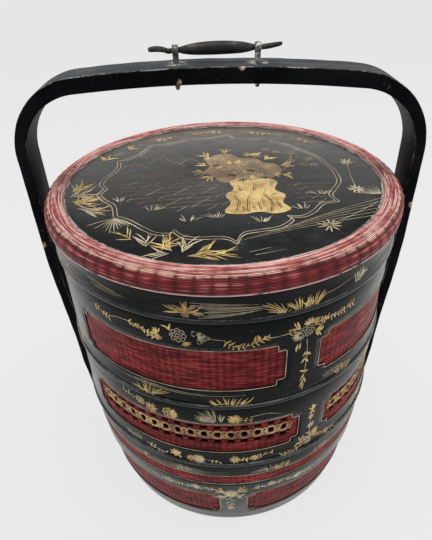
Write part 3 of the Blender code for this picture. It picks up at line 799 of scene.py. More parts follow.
def hole_middles():
    for middle in window_middles(turn, gap, span):
        for i in range(COUNT):
            yield middle + (i - (COUNT - 1) / 2) * SLOT_PITCH / WALL_R


def small_hole(azimuth, z, wide, tall):
    arc = wrapped(azimuth - radians(turn) - pi / 2) * WALL_R
    a, b, c, d = arc - wide / 2, arc + wide / 2, z - tall / 2, z + tall / 2
    return eased_loop([(a, c), (b, c), (b, d), (a, d)], 0.0010, 0.02)


holes = []
for azimuth in hole_middles():
    holes.append(small_hole(azimuth, SLOT_Z - SLOT_OFF, SLOT_W, SLOT_TALL))
    holes.append(small_hole(azimuth, SLOT_Z + SLOT_OFF, SLOT_W, SLOT_TALL))
    holes.append(small_hole(azimuth, SLOT_Z, EYE_W, EYE_TALL))
print("openwork holes:", len(holes))


# %% The pierced wall
def open_wall():
    flat, faces = pierced_strip(WALL_R, HOOP_H + FIT_GAP, TIER_2_H, holes)
    azimuth = flat[:, 0] / WALL_R + radians(turn) + pi / 2
    return around(SKIN["tier_2"](flat[:, 1]) - BACKING_OUT, azimuth, flat[:, 1] + TIER_2_Z), faces


pierced = Weaving(open_wall())
thicken(pierced.piece("tier_2_pierced_wall", "tier_2", ["tier_2_woven_wall"], True), 0.0007)

# %% Weaving above and below the slots, and in the bridges between them
strips = Weaving()
half = radians(span) / 2 + LAP_TURN
edges = [rise - LAP_RISE, SLOT_Z - OPEN_TALL, SLOT_Z + OPEN_TALL, rise + height + LAP_RISE]
patches = []
for middle in window_middles(turn, gap, span):
    patches.append((edges[0], edges[1], middle - half, middle + half))
    patches.append((edges[2], edges[3], middle - half, middle + half))
    for side in (-1, 1):
        start, end = sorted((middle + side * OPEN_HALF, middle + side * half))
        patches.append((edges[1], edges[2], start, end))
for azimuth in hole_middles():
    start = azimuth + (SLOT_W / 2 + STRIP_GAP) / WALL_R
    end = azimuth + (SLOT_PITCH - SLOT_W / 2 - STRIP_GAP) / WALL_R
    for side in (-1, 1):
        low, high = sorted(SLOT_Z + side * off for off in (SLOT_OFF - SLOT_TALL / 2, OPEN_TALL))
        patches.append((low, high, start, end))
for low, high, start, end in patches:
    strips.patch(SKIN["tier_2"], low, high, start, end, TIER_2_Z, WEAVE_SINK)
strips.piece("tier_2_woven_strips", "tier_2")


# %% Bent cane: a round strand along a path
def cane(path, radius, out, sides, closed=False, flat=1.0):
    """Sweeps a strand along points. out gives the way that faces away from the wall."""
    path, out = np.asarray(path, float), np.asarray(out, float)
    radius = np.broadcast_to(radius, len(path))[:, None, None]
    if closed:
        way = np.roll(path, -1, 0) - np.roll(path, 1, 0)
    else:
        way = np.gradient(path, axis=0)
    side = unit(np.cross(way, np.broadcast_to(out, way.shape)))
    up = unit(np.cross(side, way))
    turn = np.linspace(0, 2 * pi, sides, endpoint=False)[None, :, None]
    ring = side[:, None] * np.cos(turn) + up[:, None] * np.sin(turn) * flat
    points = (path[:, None] + ring * radius).reshape(-1, 3)
    if closed:
        return points, sheet_faces(len(path), sides, True, True)
    return points, tube_faces(len(path), sides)


# %% Gilt rings, and the knots that tie each ring to the next
def on_wall(azimuth, arc, z, out):
    radius = SKIN["tier_2"](z) - FACING_T - FIT_GAP + out
    return around(radius, azimuth + arc / WALL_R, z + TIER_2_Z)


RING_TALL, RING_WIDE, RING_T = 0.0051, 0.0038, 0.00088
KNOT_TALL, KNOT_WIDE, KNOT_T = 0.0030, 0.0029, 0.00085
TIE_Z, TIE_DIP, TIE_WIDE, TIE_T = 0.0046, 0.0011, 0.0026, 0.00075


def squared(values):
    return np.sign(values) * np.abs(values) ** 0.7


def gilt_chain():
    rings, knots = [], []
    by_hand = random.Random(7)
    turn_by = np.linspace(0, 2 * pi, 24, endpoint=False)
    for index, azimuth in enumerate(hole_middles()):
        out = around(1.0, azimuth, 0.0)
        wide, tall = (by_hand.uniform(0.94, 1.06) for _ in range(2))
        lean = by_hand.uniform(-0.12, 0.12)
        z = SLOT_Z + RING_TALL * tall * squared(np.sin(turn_by))
        arc = RING_WIDE * wide * squared(np.cos(turn_by)) + lean * (z - SLOT_Z)
        lift = 0.0003 * np.sin(turn_by * 2 + index) - 0.0002
        thick = RING_T * (1 + 0.22 * np.sin(turn_by * 3 + index * 2.1))
        rings.append(cane(on_wall(azimuth, arc, z, lift), thick, out, 8, True, 0.7))
    t = np.linspace(-1, 1, 9)
    reach = SLOT_PITCH / WALL_R / 2
    for index, azimuth in enumerate(hole_middles()):
        for side in (1,) if index % COUNT else (-1, 1):
            middle = azimuth + side * reach
            out = around(1.0, middle, 0.0)
            for cross in (-1, 1):
                z = SLOT_Z + cross * KNOT_TALL * np.sin(t * pi / 2)
                lift = 0.0001 + cross * 0.0003 * np.cos(t * pi / 2)
                path = on_wall(middle, KNOT_WIDE * t, z, lift)
                knots.append(cane(path, KNOT_T, out, 6, flat=0.7))
                z = SLOT_Z + cross * (TIE_Z - TIE_DIP * t**2)
                path = on_wall(middle, TIE_WIDE * t, z, -0.0003)
                knots.append(cane(path, TIE_T, out, 6))
    return gather(*rings), gather(*knots)


rings, knots = gilt_chain()
GILT_CANE = gold_paint("gilt_cane", (0.58, 0.43, 0.20), (0.22, 0.12, 0.05))
KNOT_CANE = gold_paint("gilt_knots", (0.50, 0.34, 0.13), (0.17, 0.07, 0.03))
piece("tier_2_gilt_rings", rings, GILT_CANE, "tier_2")
piece("tier_2_gilt_knots", knots, KNOT_CANE, "tier_2")

# %% [markdown]
# ## The lid
#
# The lid is a lacquered board, held by a broad woven roll. The roll is basketwork too: fine
# strands run round the edge over close-set radial stakes, and low knuckles swell all along it.
# Its section is a curve, so the relief is laid along that curve's own normals.

# %% Lid band, hoop, frame and board
BAND_R = BODY_R - 0.0006
FRAME_LOW = LID_Z + LID_BAND_H + FIT_GAP
FRAME_H, FRAME_W, BOARD_T, BOARD_R = 0.0085, 0.0265, 0.0040, 0.1498
BAND_T, BAND_DIP = 0.0034, 0.0007
BOARD_LOW = FRAME_LOW + FRAME_H + FIT_GAP
BOARD_TOP = BOARD_LOW + BOARD_T
lid_hoop, chipped = turned(hoop_section(LID_Z)), hoop_lacquer("lid")
piece("lid_bent_hoop", lid_hoop, chipped, "lid", ["lid_edge_hoop"], "black_lacquer")
# The lid band darkens to painted shade under the frame and roll above it.
shade_heights = painted_shade_under(LID_Z + LID_BAND_H, 0.007, 0.002)
band_black = lacquer("lid_band_lacquer", (), 0.8, dark=shade_heights)
z = np.linspace(HOOP_H + FIT_GAP, LID_BAND_H, 14)
hollow = BAND_R - BAND_DIP * np.sin((z - z[0]) / (z[-1] - z[0]) * pi) ** 2
outer = list(zip(hollow, z + LID_Z))
band = turned(outer + [(BAND_R - BAND_T, outer[-1][1]), (BAND_R - BAND_T, outer[0][1])])
piece("lid_lacquered_band", band, band_black, "lid", ["lid_side_band"], "black_lacquer")
lid_frame = turned(eased(BAND_R - FRAME_W, BAND_R, FRAME_LOW, FRAME_LOW + FRAME_H, 0.0003))
piece("lid_frame_ring", lid_frame, INNER_RED, "lid", ["lid_frame"], "inner_lacquer")
# The board pales to a painted sheen towards its back.
board_black = lacquer(
    "lid_board_lacquer", (), 0.8, (45, 90, 45), 0.30, pale=0.022, back_sheen=0.28, gloss=0.18, coat=0.35
)
lid_board = board(BOARD_R, BOARD_LOW, BOARD_TOP)
piece("lid_lacquered_board", lid_board, board_black, "lid", ["lid_board"], "black_lacquer", True)

# %% The roll's section, as a smooth curve
ROLL_IN, ROLL_OUT, ROLL_UP = BOARD_R + FIT_GAP, 0.0030, 0.0070
ROLL_WIDTH = BAND_R + FIT_GAP + ROLL_OUT - ROLL_IN
ROLL_STRANDS, ROLL_STAKES, ROLL_CREST, KNUCKLE = 26, 160, 0.00050, 0.0007
ROLL_SHARES = [(0.0, 0.55), (0.12, 0.86), (0.40, 1.0), (0.70, 0.80), (0.92, 0.30), (1.0, -0.40)]


def smooth_path(points, count):
    """Evenly spaced points on a smooth curve through the given ones."""
    points = np.asarray(points, float)
    ends = np.concatenate([2 * points[:1] - points[1:2], points, 2 * points[-1:] - points[-2:-1]])
    t = np.linspace(0, 1, 24, endpoint=False)[:, None]
    runs = []
    for a, b, c, d in zip(ends, ends[1:], ends[2:], ends[3:]):
        runs.append(
            0.5 * (2 * b + (c - a) * t + (2 * a - 5 * b + 4 * c - d) * t**2
                   + (3 * b - a - 3 * c + d) * t**3)
        )
    curve = np.concatenate(runs + [points[-1:]])
    length = run_length(curve)
    even = np.linspace(0, length[-1], count)
    return np.stack([np.interp(even, length, curve[:, k]) for k in range(points.shape[1])], -1)


def woven_roll():
    section = [(ROLL_IN + out * ROLL_WIDTH, BOARD_LOW + up * ROLL_UP) for out, up in ROLL_SHARES]
    section += [(BAND_R + ROLL_OUT, FRAME_LOW + 0.0012), (BAND_R + 0.0026, FRAME_LOW)]
    path = smooth_path(section, ROLL_STRANDS * 4 + 1)[::-1]
    azimuth = np.linspace(-pi, pi, ROLL_STAKES * 5, endpoint=False)
    zone = np.linspace(0, 1, len(path))[:, None]
    strand = np.minimum(zone * ROLL_STRANDS, ROLL_STRANDS - 1e-6)
    crest = weave_height(strand, (azimuth / (2 * pi) * ROLL_STAKES)[None])
    streak = strand_streaks(strand, azimuth * BAND_R, 3, 0.240, 1.8)
    knuckle = np.abs(np.sin(azimuth * 40 + 0.35 * np.sin(azimuth * 11)))[None] ** 0.7
    uneven = 0.7 + 0.3 * np.sin(azimuth * 7 + 1) * np.sin(azimuth * 17)[None]
    edge = np.exp(-(((zone - 0.48) / 0.12) ** 2)) + np.exp(-(((zone - 0.22) / 0.18) ** 2))
    out = (crest - 1.0) * ROLL_CREST + (knuckle - 1) * uneven * KNUCKLE * np.minimum(edge, 1.0)
    rows = path[:, None] + outward(np.gradient(path, axis=0))[:, None] * out[..., None]
    points = around(rows[..., 0], azimuth[None], rows[..., 1])
    seat_r = BAND_R + FIT_GAP
    wrap = np.array([(ROLL_IN, BOARD_LOW), (seat_r, BOARD_LOW), (seat_r, FRAME_LOW)])
    under = around(wrap[:, :1], azimuth[None], wrap[:, 1:])
    values = {"crest": crest, "streak": streak, "zone": zone, "knuckle": knuckle}
    for name, numbers in values.items():
        above = np.broadcast_to(numbers, points.shape[:2])
        values[name] = np.concatenate([above, np.zeros(under.shape[:2])])
    points = np.concatenate([points, under])
    return (points, sheet_faces(len(points), len(azimuth), True, True)), values


roll, values = woven_roll()
piece("lid_woven_roll", roll, RIM_RED, "lid", ["lid_rim_roll"], "red_edging", **values)


# %% The pale lines, rubbed and broken, where the roll is pasted down
def pasted_edge(name, pale, share):
    look = Finish(name)
    broken = look.noise(58, 6, roughness=0.75)
    look.ground(broken.between(share, share + 0.10), (0.045, 0.030, 0.028), pale)
    return look.finish(Roughness=0.7, Normal=look.bump(broken, 0.0003, 0.7))


def pasted_line(name, inner, outer, low, high, ease, finish):
    piece(name, turned(eased(inner, outer, low, high, ease)), finish, "lid")


INNER_PASTE = pasted_edge("inner_pasted_edge", (0.34, 0.35, 0.31), 0.47)
OUTER_PASTE = pasted_edge("outer_pasted_edge", (0.62, 0.42, 0.40), 0.38)
low, high = BOARD_TOP - 0.0002, BOARD_TOP + 0.0004
pasted_line("lid_inner_line", BOARD_R - 0.0006, BOARD_R + 0.0006, low, high, 0.0003, INNER_PASTE)
low, high = FRAME_LOW - 0.0010, FRAME_LOW + 0.0002
pasted_line("lid_outer_line", BAND_R + 0.0004, BAND_R + 0.0028, low, high, 0.0005, OUTER_PASTE)

# %% [markdown]
# ## The bent handle
#
# One thick strip of bamboo is bent over heat into an arch, thinner in the legs and thicker over
# the crown. A bevelled curve would keep one thickness, so the strap is a sheet of points: at each
# station along the arch stands a rounded rectangle between the outer and the inner face.

# %% Outer and inner face of the arch
HALF_SPAN, HANDLE_TOP, SHOULDER_R = 0.1857, 0.4628, 0.0700
LEG_T, CROWN_T, CROWN_DROP, LEAN = 0.0096, 0.0138, 0.0055, 0.0033
STRAP_W, LEG_STRAIGHT, LEG_END, PEG_Z = 0.0360, 0.3000, 0.0200, 0.0957
STRAP_EASE, EYE_SHIFT, EYE_OUT = 0.0012, 0.0017, 0.0345


def leg_outside(z):
    seat_z = TIER_2_Z + HOOP_H
    at_seat = BODY_R + 0.0006 + LEG_T
    at_base = float(base_radius(PEG_Z)) + FIT_GAP + LEG_T
    if z >= seat_z:
        share = min(1.0, (z - seat_z) / (LEG_STRAIGHT - seat_z))
        return at_seat + (HALF_SPAN - at_seat) * share * share * (3 - 2 * share)
    if z >= PEG_Z:
        return at_base + (at_seat - at_base) * (z - PEG_Z) / (seat_z - PEG_Z)
    return float(base_radius(z)) + FIT_GAP + LEG_T


def half_arch():
    """Outer and inner points of the right half, from the leg's end to the crown's middle."""
    outer = [(leg_outside(z), z) for z in np.linspace(LEG_END, LEG_STRAIGHT, 44)]
    inner = [(x - LEG_T, z) for x, z in outer]
    crown_x = HALF_SPAN - SHOULDER_R
    centre_z = HANDLE_TOP - CROWN_DROP - SHOULDER_R
    z_run = np.linspace(LEG_STRAIGHT, centre_z, 12)[1:]
    outer += [(HALF_SPAN, z) for z in z_run]
    inner += [(HALF_SPAN - LEG_T, z) for z in z_run]
    for share in np.linspace(0, 1, 25)[1:]:
        angle = (pi / 2 - 2 * CROWN_DROP / crown_x) * share
        thick = LEG_T + (CROWN_T - LEG_T) * share
        out, up = cos(angle), sin(angle)
        outer.append((crown_x + SHOULDER_R * out, centre_z + SHOULDER_R * up))
        inner.append((outer[-1][0] - thick * out, outer[-1][1] - thick * up))
    (last_x, last_z), inner_x = outer[-1], inner[-1][0]
    for share in np.linspace(0, 1, 25)[1:]:
        x = last_x * (1 - share)
        z = HANDLE_TOP - (HANDLE_TOP - last_z) * (x / last_x) ** 2
        outer.append((x, z))
        inner.append((x * inner_x / last_x, z - CROWN_T))
    return np.array(outer), np.array(inner)


def leaned(points, side):
    share = np.clip((points[:, 1] - LEG_STRAIGHT) / (HANDLE_TOP - SHOULDER_R - LEG_STRAIGHT), 0, 1)
    x = side * points[:, 0]
    return np.stack([x, points[:, 1] - share * LEAN * x / HALF_SPAN], -1)


# %% The strap
def strap():
    outer, inner = half_arch()
    outer = np.concatenate([leaned(outer, 1), leaned(outer[:-1], -1)[::-1]])
    inner = np.concatenate([leaned(inner, 1), leaned(inner[:-1], -1)[::-1]])
    thick = np.linalg.norm(outer - inner, axis=1)
    up = (outer - inner) / thick[:, None]
    length = run_length(outer)
    shave = 0.00008 * (np.sin(length * 95) + np.sin(length * 210 + 1) - 2)
    ease, half = STRAP_EASE, STRAP_W / 2
    arc = np.linspace(0, pi / 2, 6)
    section = []
    for y, top, turn in ((half, 1, 0), (-half, 1, 1), (-half, 0, 2), (half, 0, 3)):
        for a in arc + turn * pi / 2:
            section.append((y - np.sign(y) * ease + ease * cos(a), top, ease * sin(a)))
    points = []
    for y, top, rise in section:
        height = (thick + shave - ease if top else ease) + rise
        place = inner + up * height[:, None] if top else inner + up * height
        width = y * (1 + 12 * shave)
        points.append(np.stack([place[:, 0], np.broadcast_to(width, len(place)), place[:, 1]], -1))
    return np.stack(points, 1), tube_faces(len(outer), len(section))


def strap_lacquer(name):
    look = Finish(name)
    streak = look.noise(1.0, 4, look.stretch(26, 420, 26), 0.65)
    cloud = look.noise(22, 5)
    fine = look.noise(150, 6, roughness=0.75)
    dark, light = (0.0012, 0.0012, 0.0014), (0.006, 0.0065, 0.008)
    look.ground((streak * 0.6 + cloud * 0.6).between(0.42, 0.8), dark, light)
    # The crown's broad faces are lighter than its narrow sides: dust, and a painted sheen where the
    # overhead light falls.
    top = abs(look.y).between(0.0178, 0.0166) * look.z.between(0.38, 0.45)
    scratch = look.noise(1.0, 5, look.stretch(12, 420, 12), 0.8)
    dust_and_sheen = (scratch * 0.8 + cloud * 0.4).between(0.48, 0.80)
    look.lay(top * (0.20 + dust_and_sheen * 0.80), (0.085, 0.088, 0.094))
    speck = look.noise(330, 3).between(0.66, 0.72)
    look.lay(speck * (0.15 + top * 0.35), (0.36, 0.35, 0.33))
    # Pale broken lines along the strap's edges: wear, and a painted highlight.
    edge = abs(abs(look.y) - 0.0170).between(0.0009, 0.0003)
    broken = look.noise(60, 7, look.stretch(0.5, 1.2, 0.5), 0.85)
    worn = edge * broken.between(0.48, 0.58)
    look.lay(worn * 0.8, (0.40, 0.39, 0.38))
    for x, y, z, size in STRAP_CHIPS:
        chip = look.near((x, y, z), size) * fine.between(0.42, 0.52)
        look.lay(chip, (0.30, 0.21, 0.14))
        look.lay(chip * fine.between(0.52, 0.60), (0.62, 0.55, 0.42))
    for side in (-1, 1):
        near = look.near((side * EYE_OUT - EYE_SHIFT, 0.0, HANDLE_TOP), 0.0115)
        scuffed = near * look.noise(130, 6, look.stretch(1, 0.6, 1), 0.75).between(0.45, 0.54)
        look.lay(scuffed, (0.42, 0.40, 0.36))
    rough = 0.26 + cloud * 0.20 + worn * 0.3 + top * 0.15
    relief = streak * 0.7 + cloud * 1.6 + scratch * top - worn * 0.8
    return look.finish(
        Roughness=rough, Specular_IOR_Level=0.03,
        Normal=look.bump(relief, 0.0004, 0.7),
    )


STRAP_CHIPS = [
    (0.0185, -0.0172, 0.4625, 0.0040), (0.142, -0.0176, 0.4420, 0.0022),
    (-0.150, -0.0176, 0.4330, 0.0026), (-0.034, -0.0178, 0.4520, 0.0030),
    (0.060, 0.0174, 0.4615, 0.0030), (-0.090, 0.0174, 0.4560, 0.0030),
    (0.150, 0.0172, 0.4330, 0.0030),
    (0.1850, -0.0170, 0.330, 0.0050), (-0.1850, -0.0170, 0.300, 0.0050),
    (-0.1780, 0.0170, 0.210, 0.0060), (0.1790, 0.0170, 0.240, 0.0060),
]
STRAP_BLACK = strap_lacquer("strap_lacquer")
piece("bent_bamboo_strap", strap(), STRAP_BLACK, "base", ["handle_strap"], "black_bamboo", True)

# %% [markdown]
# ## Eye pins, grip and pegs
#
# Two flat iron strips are each doubled round into an eye and driven through the crown. The grip is
# a turned stick, thick in the middle, that passes through both eyes and is free to turn. Strips
# follow a path with a flat section. The grip is a row of circles along its own axis.

# %% Eye pins
EYE_Z, EYE_R, EYE_T = HANDLE_TOP + 0.0106, 0.0028, 0.0014
PIN_W, PIN_PART, PIN_TAIL = 0.0050, 0.0008, 0.0072


def eye_pin(side):
    ring = EYE_R + EYE_T / 2
    start = np.arcsin(PIN_PART / ring)
    arc = np.linspace(-pi / 2 + start, 3 * pi / 2 - start, 28)
    loop = [(ring * cos(a), EYE_Z + ring * sin(a)) for a in arc]
    low = HANDLE_TOP - CROWN_T - PIN_TAIL
    down = [(PIN_PART, z) for z in np.linspace(low, EYE_Z - ring - 0.0012, 12)]
    path = smooth_path(down + loop + [(-y, z) for y, z in down[::-1]], 90)
    out = outward(np.gradient(path, axis=0))
    half, thin = PIN_W / 2, EYE_T / 2
    corners = [(-half, -0.4), (-0.8 * half, -1), (0.8 * half, -1), (half, -0.4)]
    corners += [(half, 0.4), (0.8 * half, 1), (-0.8 * half, 1), (-half, 0.4)]
    points = []
    for x, depth in corners:
        place = path + out * depth * thin
        taper = np.interp(path[:, 1], [low, low + 0.004], [0.55, 1.0])
        across = side * EYE_OUT - EYE_SHIFT + x * taper
        points.append(np.stack([across, place[:, 0], place[:, 1]], -1))
    return np.stack(points, 1), tube_faces(len(path), len(corners))


for side, label, bright in ((-1, "left", 0.16), (1, "right", 0.42)):
    iron = worn_iron(f"{label}_pin_iron", bright)
    name = f"{label}_doubled_eye_pin"
    piece(name, eye_pin(side), iron, "base", [f"{label}_eye_pin"], "iron", True)

# %% The grip, from its left tip to its right: place along, rise and thickness
GRIP_R, NECK_R, GRIP_TAIL, GRIP_SIDES = 0.0053, 0.00215, 0.0208, 20
GRIP_SHARES = [
    (-2.080, 0.20, -0.27), (-2.000, 0.22, -0.06), (-1.740, 0.26, 0.05), (-1.480, 0.14, 0.02),
    (-1.270, -0.12, 0.00), (-1.120, -0.04, -0.02), (-0.930, 0.00, 0.00), (-0.800, 0.00, 0.32),
    (-0.590, 0.05, 0.71), (-0.290, 0.10, 0.94), (0.000, 0.12, 1.00), (0.290, 0.10, 0.94),
    (0.590, 0.05, 0.73), (0.810, 0.00, 0.33), (0.930, 0.00, 0.01), (1.140, 0.00, 0.00),
    (1.380, 0.06, 0.02), (1.690, 0.22, -0.05), (1.890, 0.34, -0.16), (1.970, 0.39, -0.32),
]


def grip():
    path = smooth_path(GRIP_SHARES, 120)
    along = path[:, :1]
    between = np.clip(along, -1, 1)
    x = between * EYE_OUT + (along - between) * GRIP_TAIL - EYE_SHIFT
    turn = np.linspace(0, 2 * pi, GRIP_SIDES, endpoint=False)[None]
    radius = NECK_R + path[:, 2:] * (GRIP_R - NECK_R)
    y, z = radius * np.cos(turn), EYE_Z + path[:, 1:2] * GRIP_R + radius * np.sin(turn)
    return np.stack([np.broadcast_to(x, y.shape), y, z], -1), tube_faces(len(path), GRIP_SIDES)


def grip_lacquer(name):
    look = Finish(name)
    streak = look.noise(1.0, 4, look.stretch(60, 700, 700), 0.65)
    worn = look.noise(70, 6, roughness=0.75)
    look.ground(streak.between(0.35, 0.7), (0.004, 0.004, 0.005), (0.034, 0.033, 0.033))
    look.lay(worn.between(0.56, 0.66) * 0.7, (0.12, 0.105, 0.092))
    relief = streak + worn
    return look.finish(
        Roughness=0.34 + worn * 0.2, Specular_IOR_Level=0.18,
        Normal=look.bump(relief, 0.0005, 0.8),
    )


piece("turned_grip", grip(), grip_lacquer("grip_lacquer"), "grip", ["grip"], "black_bamboo", True)

# %% Pegs through the legs keep their solids, with a finish of their own
PEG_BAMBOO = raw_bamboo("peg_bamboo")
for side in ("left", "right"):
    for level in ("lower", "upper"):
        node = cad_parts[f"{side}_leg_{level}_peg"]
        for index in range(len(node.material_slots)):
            node.material_slots[index].material = PEG_BAMBOO
print("pegs finished")

# %% [markdown]
# ## Gold painting
#
# The black grounds carry brushwork: bamboo sprigs, garlands of small flowers, tufts of grass, and
# on the lid a lobed frame drawn with a double line. A brush stroke is a narrow ribbon that is wide
# in its middle. Strokes are drawn flat, in millimetres, and then laid on the round skin, so they
# keep their shape. Seeded random numbers vary them as a hand would.

# %% A brush that lays ribbons on a flat sheet
class Brush:
    def __init__(self, seed):
        self.hand = random.Random(seed)
        self.ribbons, self.areas = [], []
        self.at = (0.0, 0.0)

    def move(self, x, y):
        self.at = (x, y)

    def stroke(self, path, widths):
        path = np.asarray(path, float) + np.asarray(self.at)
        way = np.gradient(path, axis=0)
        way /= np.linalg.norm(way, axis=1, keepdims=True) + 1e-9
        side = np.stack([-way[:, 1], way[:, 0]], -1)
        half = np.maximum(np.asarray(widths, float), 0.10)[:, None] / 2
        self.ribbons.append((path + side * half, path - side * half))

    def area(self, outline):
        """A filled shape with a smooth outline, listed counter-clockwise."""
        closed = smooth_path([outline[-1], *outline, outline[0], outline[1]], 120)
        start = np.argmin(np.linalg.norm(closed[:40] - outline[0], axis=1))
        end = 80 + np.argmin(np.linalg.norm(closed[80:] - outline[0], axis=1))
        self.areas.append(closed[start:end] + np.asarray(self.at))

    def leaf(self, x, y, angle, length, width, bend=0.0):
        t = np.linspace(0, 1, 7)
        turn = radians(angle) + bend * t
        path = np.stack([x + length * t * np.cos(turn), y + length * t * np.sin(turn)], -1)
        self.stroke(path, width * np.sin(pi * np.clip(t * 0.94 + 0.04, 0, 1)) ** 0.8)

    def dot(self, x, y, size):
        self.leaf(x - size / 2, y, 0, size, size * 1.1)

    def line(self, points, width, taper=True):
        path = smooth_path(points, 4 + 8 * len(points))
        t = np.linspace(0, 1, len(path))
        self.stroke(path, width * ((1 - t) ** 0.5 * 0.9 + 0.1 if taper else np.ones(len(t))))


# %% Leaves and flowers, made of strokes
class Painter(Brush):
    def twig(self, x, y, angle, count, length, width, spread):
        """Bamboo: a short twig, with slender leaves to both sides of it."""
        reach = length * 0.55
        way = radians(angle)
        self.line([(x, y), (x + reach * cos(way), y + reach * sin(way))], 0.4, False)
        for i in range(count):
            at = reach * (i + 0.4) / count
            turn = angle + (-1) ** i * self.hand.uniform(0.3, 1.0) * spread
            size = length * self.hand.uniform(0.55, 0.95)
            bend = self.hand.uniform(-0.2, 0.2)
            self.leaf(x + at * cos(way), y + at * sin(way), turn, size, width, bend)

    def paired(self, points, leaf, width, gap=2.6):
        """A stem with small leaves in pairs, which point along it."""
        run = sum(hypot(b[0] - a[0], b[1] - a[1]) for a, b in zip(points, points[1:]))
        path = smooth_path(points, max(3, int(run / gap)))
        self.line(points, 0.35, False)
        for i in range(1, len(path)):
            way = degrees(atan2(*(path[i] - path[i - 1])[::-1]))
            for side in (-1, 1):
                if self.hand.random() < 0.88:
                    turn = way + side * self.hand.uniform(28, 62)
                    size = leaf * self.hand.uniform(0.7, 1.25)
                    self.leaf(*path[i], turn, size, width * self.hand.uniform(0.7, 1.1), side * 0.2)

    def petals(self, x, y, radius, count, curl, width, start=0.0):
        """A ring of petals, each an open curl."""
        u = np.linspace(-1.9, 1.9, 9)
        for i in range(count):
            a = start + 2 * pi * i / count
            px, py = x + radius * cos(a), y + radius * sin(a)
            bow = curl * self.hand.uniform(0.85, 1.15)
            path = np.stack([px + bow * np.cos(a + u), py + bow * np.sin(a + u)], -1)
            self.stroke(path, width * (1.15 - 0.35 * np.abs(u)))

    def peony(self, x, y, radius, width):
        self.petals(x, y, radius * 0.74, 8, radius * 0.30, width)
        self.petals(x, y, radius * 0.42, 5, radius * 0.24, width, 0.5)
        self.petals(x, y, radius * 0.14, 3, radius * 0.15, width)

    def blossom(self, x, y, radius):
        self.petals(x, y, radius * 0.58, 5, radius * 0.40, 0.5, self.hand.uniform(0, 6))
        self.dot(x, y, radius * 0.35)

    def aster(self, x, y, radius, count, width, start=0.0, end=360.0):
        """Strokes that spread from a heart."""
        for i in range(count):
            angle = start + (end - start) * (i + 0.5) / count + self.hand.uniform(-5, 5)
            a, size = radians(angle), radius * self.hand.uniform(0.8, 1.05)
            inner = radius * 0.12
            self.leaf(x + inner * cos(a), y + inner * sin(a), angle, size - inner, width)

    def tuft(self, x, y, count, wide, tall, width, lean=0.0):
        """Grass: thin blades that spread from one line on the ground."""
        for _ in range(count):
            share = self.hand.uniform(-1, 1)
            turn = 90 - share * 42 - lean + self.hand.uniform(-12, 12)
            bend = -share * self.hand.uniform(0.0, 0.35)
            size = tall * self.hand.uniform(0.5, 1.1)
            self.leaf(x + share * wide / 2, y, turn, size, width, bend)

    def long_lines(self, x, y, count, length, height, tilt=0.0):
        for i in range(count):
            rise = height * (i / max(1, count - 1) - 0.5)
            start = x + self.hand.uniform(-length, length) * 0.15
            end = start + length * self.hand.uniform(0.6, 1.0)
            lift = self.hand.uniform(-0.5, 0.5) + tilt * length
            middle = ((start + end) / 2, y + rise * 0.8 + lift / 2)
            self.line([(start, y + rise), middle, (end, y + rise * 0.5 + lift)], 0.28)

    def sheaf(self, x, y, width, blades, bend=0.0):
        """Leaves from one point. blades are pairs of an angle and a length."""
        for angle, length in blades:
            self.leaf(x, y, angle, length, width, bend)

    def hanging(self, x, y, length, leaf, width):
        self.line([(x, y), (x + 0.5, y - length * 0.5), (x, y - length)], 0.4, False)
        for i in range(1, 6):
            drop = y - length * i / 6
            turn = -90 + (-1) ** i * self.hand.uniform(25, 55)
            self.leaf(x, drop, turn, leaf * self.hand.uniform(0.8, 1.2), width)


# %% Laying the strokes on the basket
PAINT_T, PAINT_R, LEVELS, LEVEL_STEP = 0.00010, 0.1640, 5, 0.000008


def painted(name, brush, to_space, finish, body, lift=0.0):
    """Makes thin slabs of strokes and filled shapes. Strokes stand at several levels, so that
    two that cross don't share a face."""
    points, faces, start = [], [], 0
    for number, (left, right) in enumerate(brush.ribbons):
        count = len(left)
        top = lift + PAINT_T + LEVEL_STEP * (number % LEVELS)
        for height in (lift + 0.00003, top):
            points += [to_space(left, height), to_space(right, height)]
        low_l, low_r, top_l, top_r = (start + k * count for k in range(4))
        for i in range(count - 1):
            faces.append([top_r + i, top_r + i + 1, top_l + i + 1, top_l + i])
            faces.append([low_l + i, low_l + i + 1, low_r + i + 1, low_r + i])
            faces.append([top_l + i, top_l + i + 1, low_l + i + 1, low_l + i])
            faces.append([low_r + i, low_r + i + 1, top_r + i + 1, top_r + i])
        for i in (0, count - 1):
            end = [low_l + i, top_l + i, top_r + i, low_r + i]
            faces.append(end if i else end[::-1])
        start += 4 * count
    for outline in brush.areas:
        count = len(outline)
        points += [to_space(outline, lift + 0.00002), to_space(outline, lift + PAINT_T * 0.7)]
        low, high = ([start + k * count + i for i in range(count)] for k in range(2))
        faces += [high, low[::-1]]
        faces += [[low[i - 1], low[i], high[i], high[i - 1]] for i in range(count)]
        start += 2 * count
    piece(name, (np.concatenate(points), faces), finish, body)


def on_tier(tier):
    """Lays (millimetres round from the front, millimetres up) on a tier's skin."""

    def to_space(flat, lift):
        z = flat[:, 1] / 1000
        return around(SKIN[tier](z) + lift, flat[:, 0] / 1000 / PAINT_R, z + STACK_Z[tier])

    return to_space


def lid_top(flat, lift):
    height = np.full(len(flat), BOARD_TOP + lift)
    return np.stack([flat[:, 0] / 1000, flat[:, 1] / 1000, height], -1)


def lid_side(flat, lift):
    z = flat[:, 1] / 1000
    share = np.clip((z - HOOP_H) / (LID_BAND_H - HOOP_H), 0, 1)
    radius = BAND_R - BAND_DIP * np.sin(share * pi) ** 2
    return around(radius + lift + 0.00005, flat[:, 0] / 1000 / PAINT_R, z + LID_Z)


MM_PER_DEGREE = PAINT_R * 1000 * pi / 180
print("one degree round a tier is", round(MM_PER_DEGREE, 2), "mm")


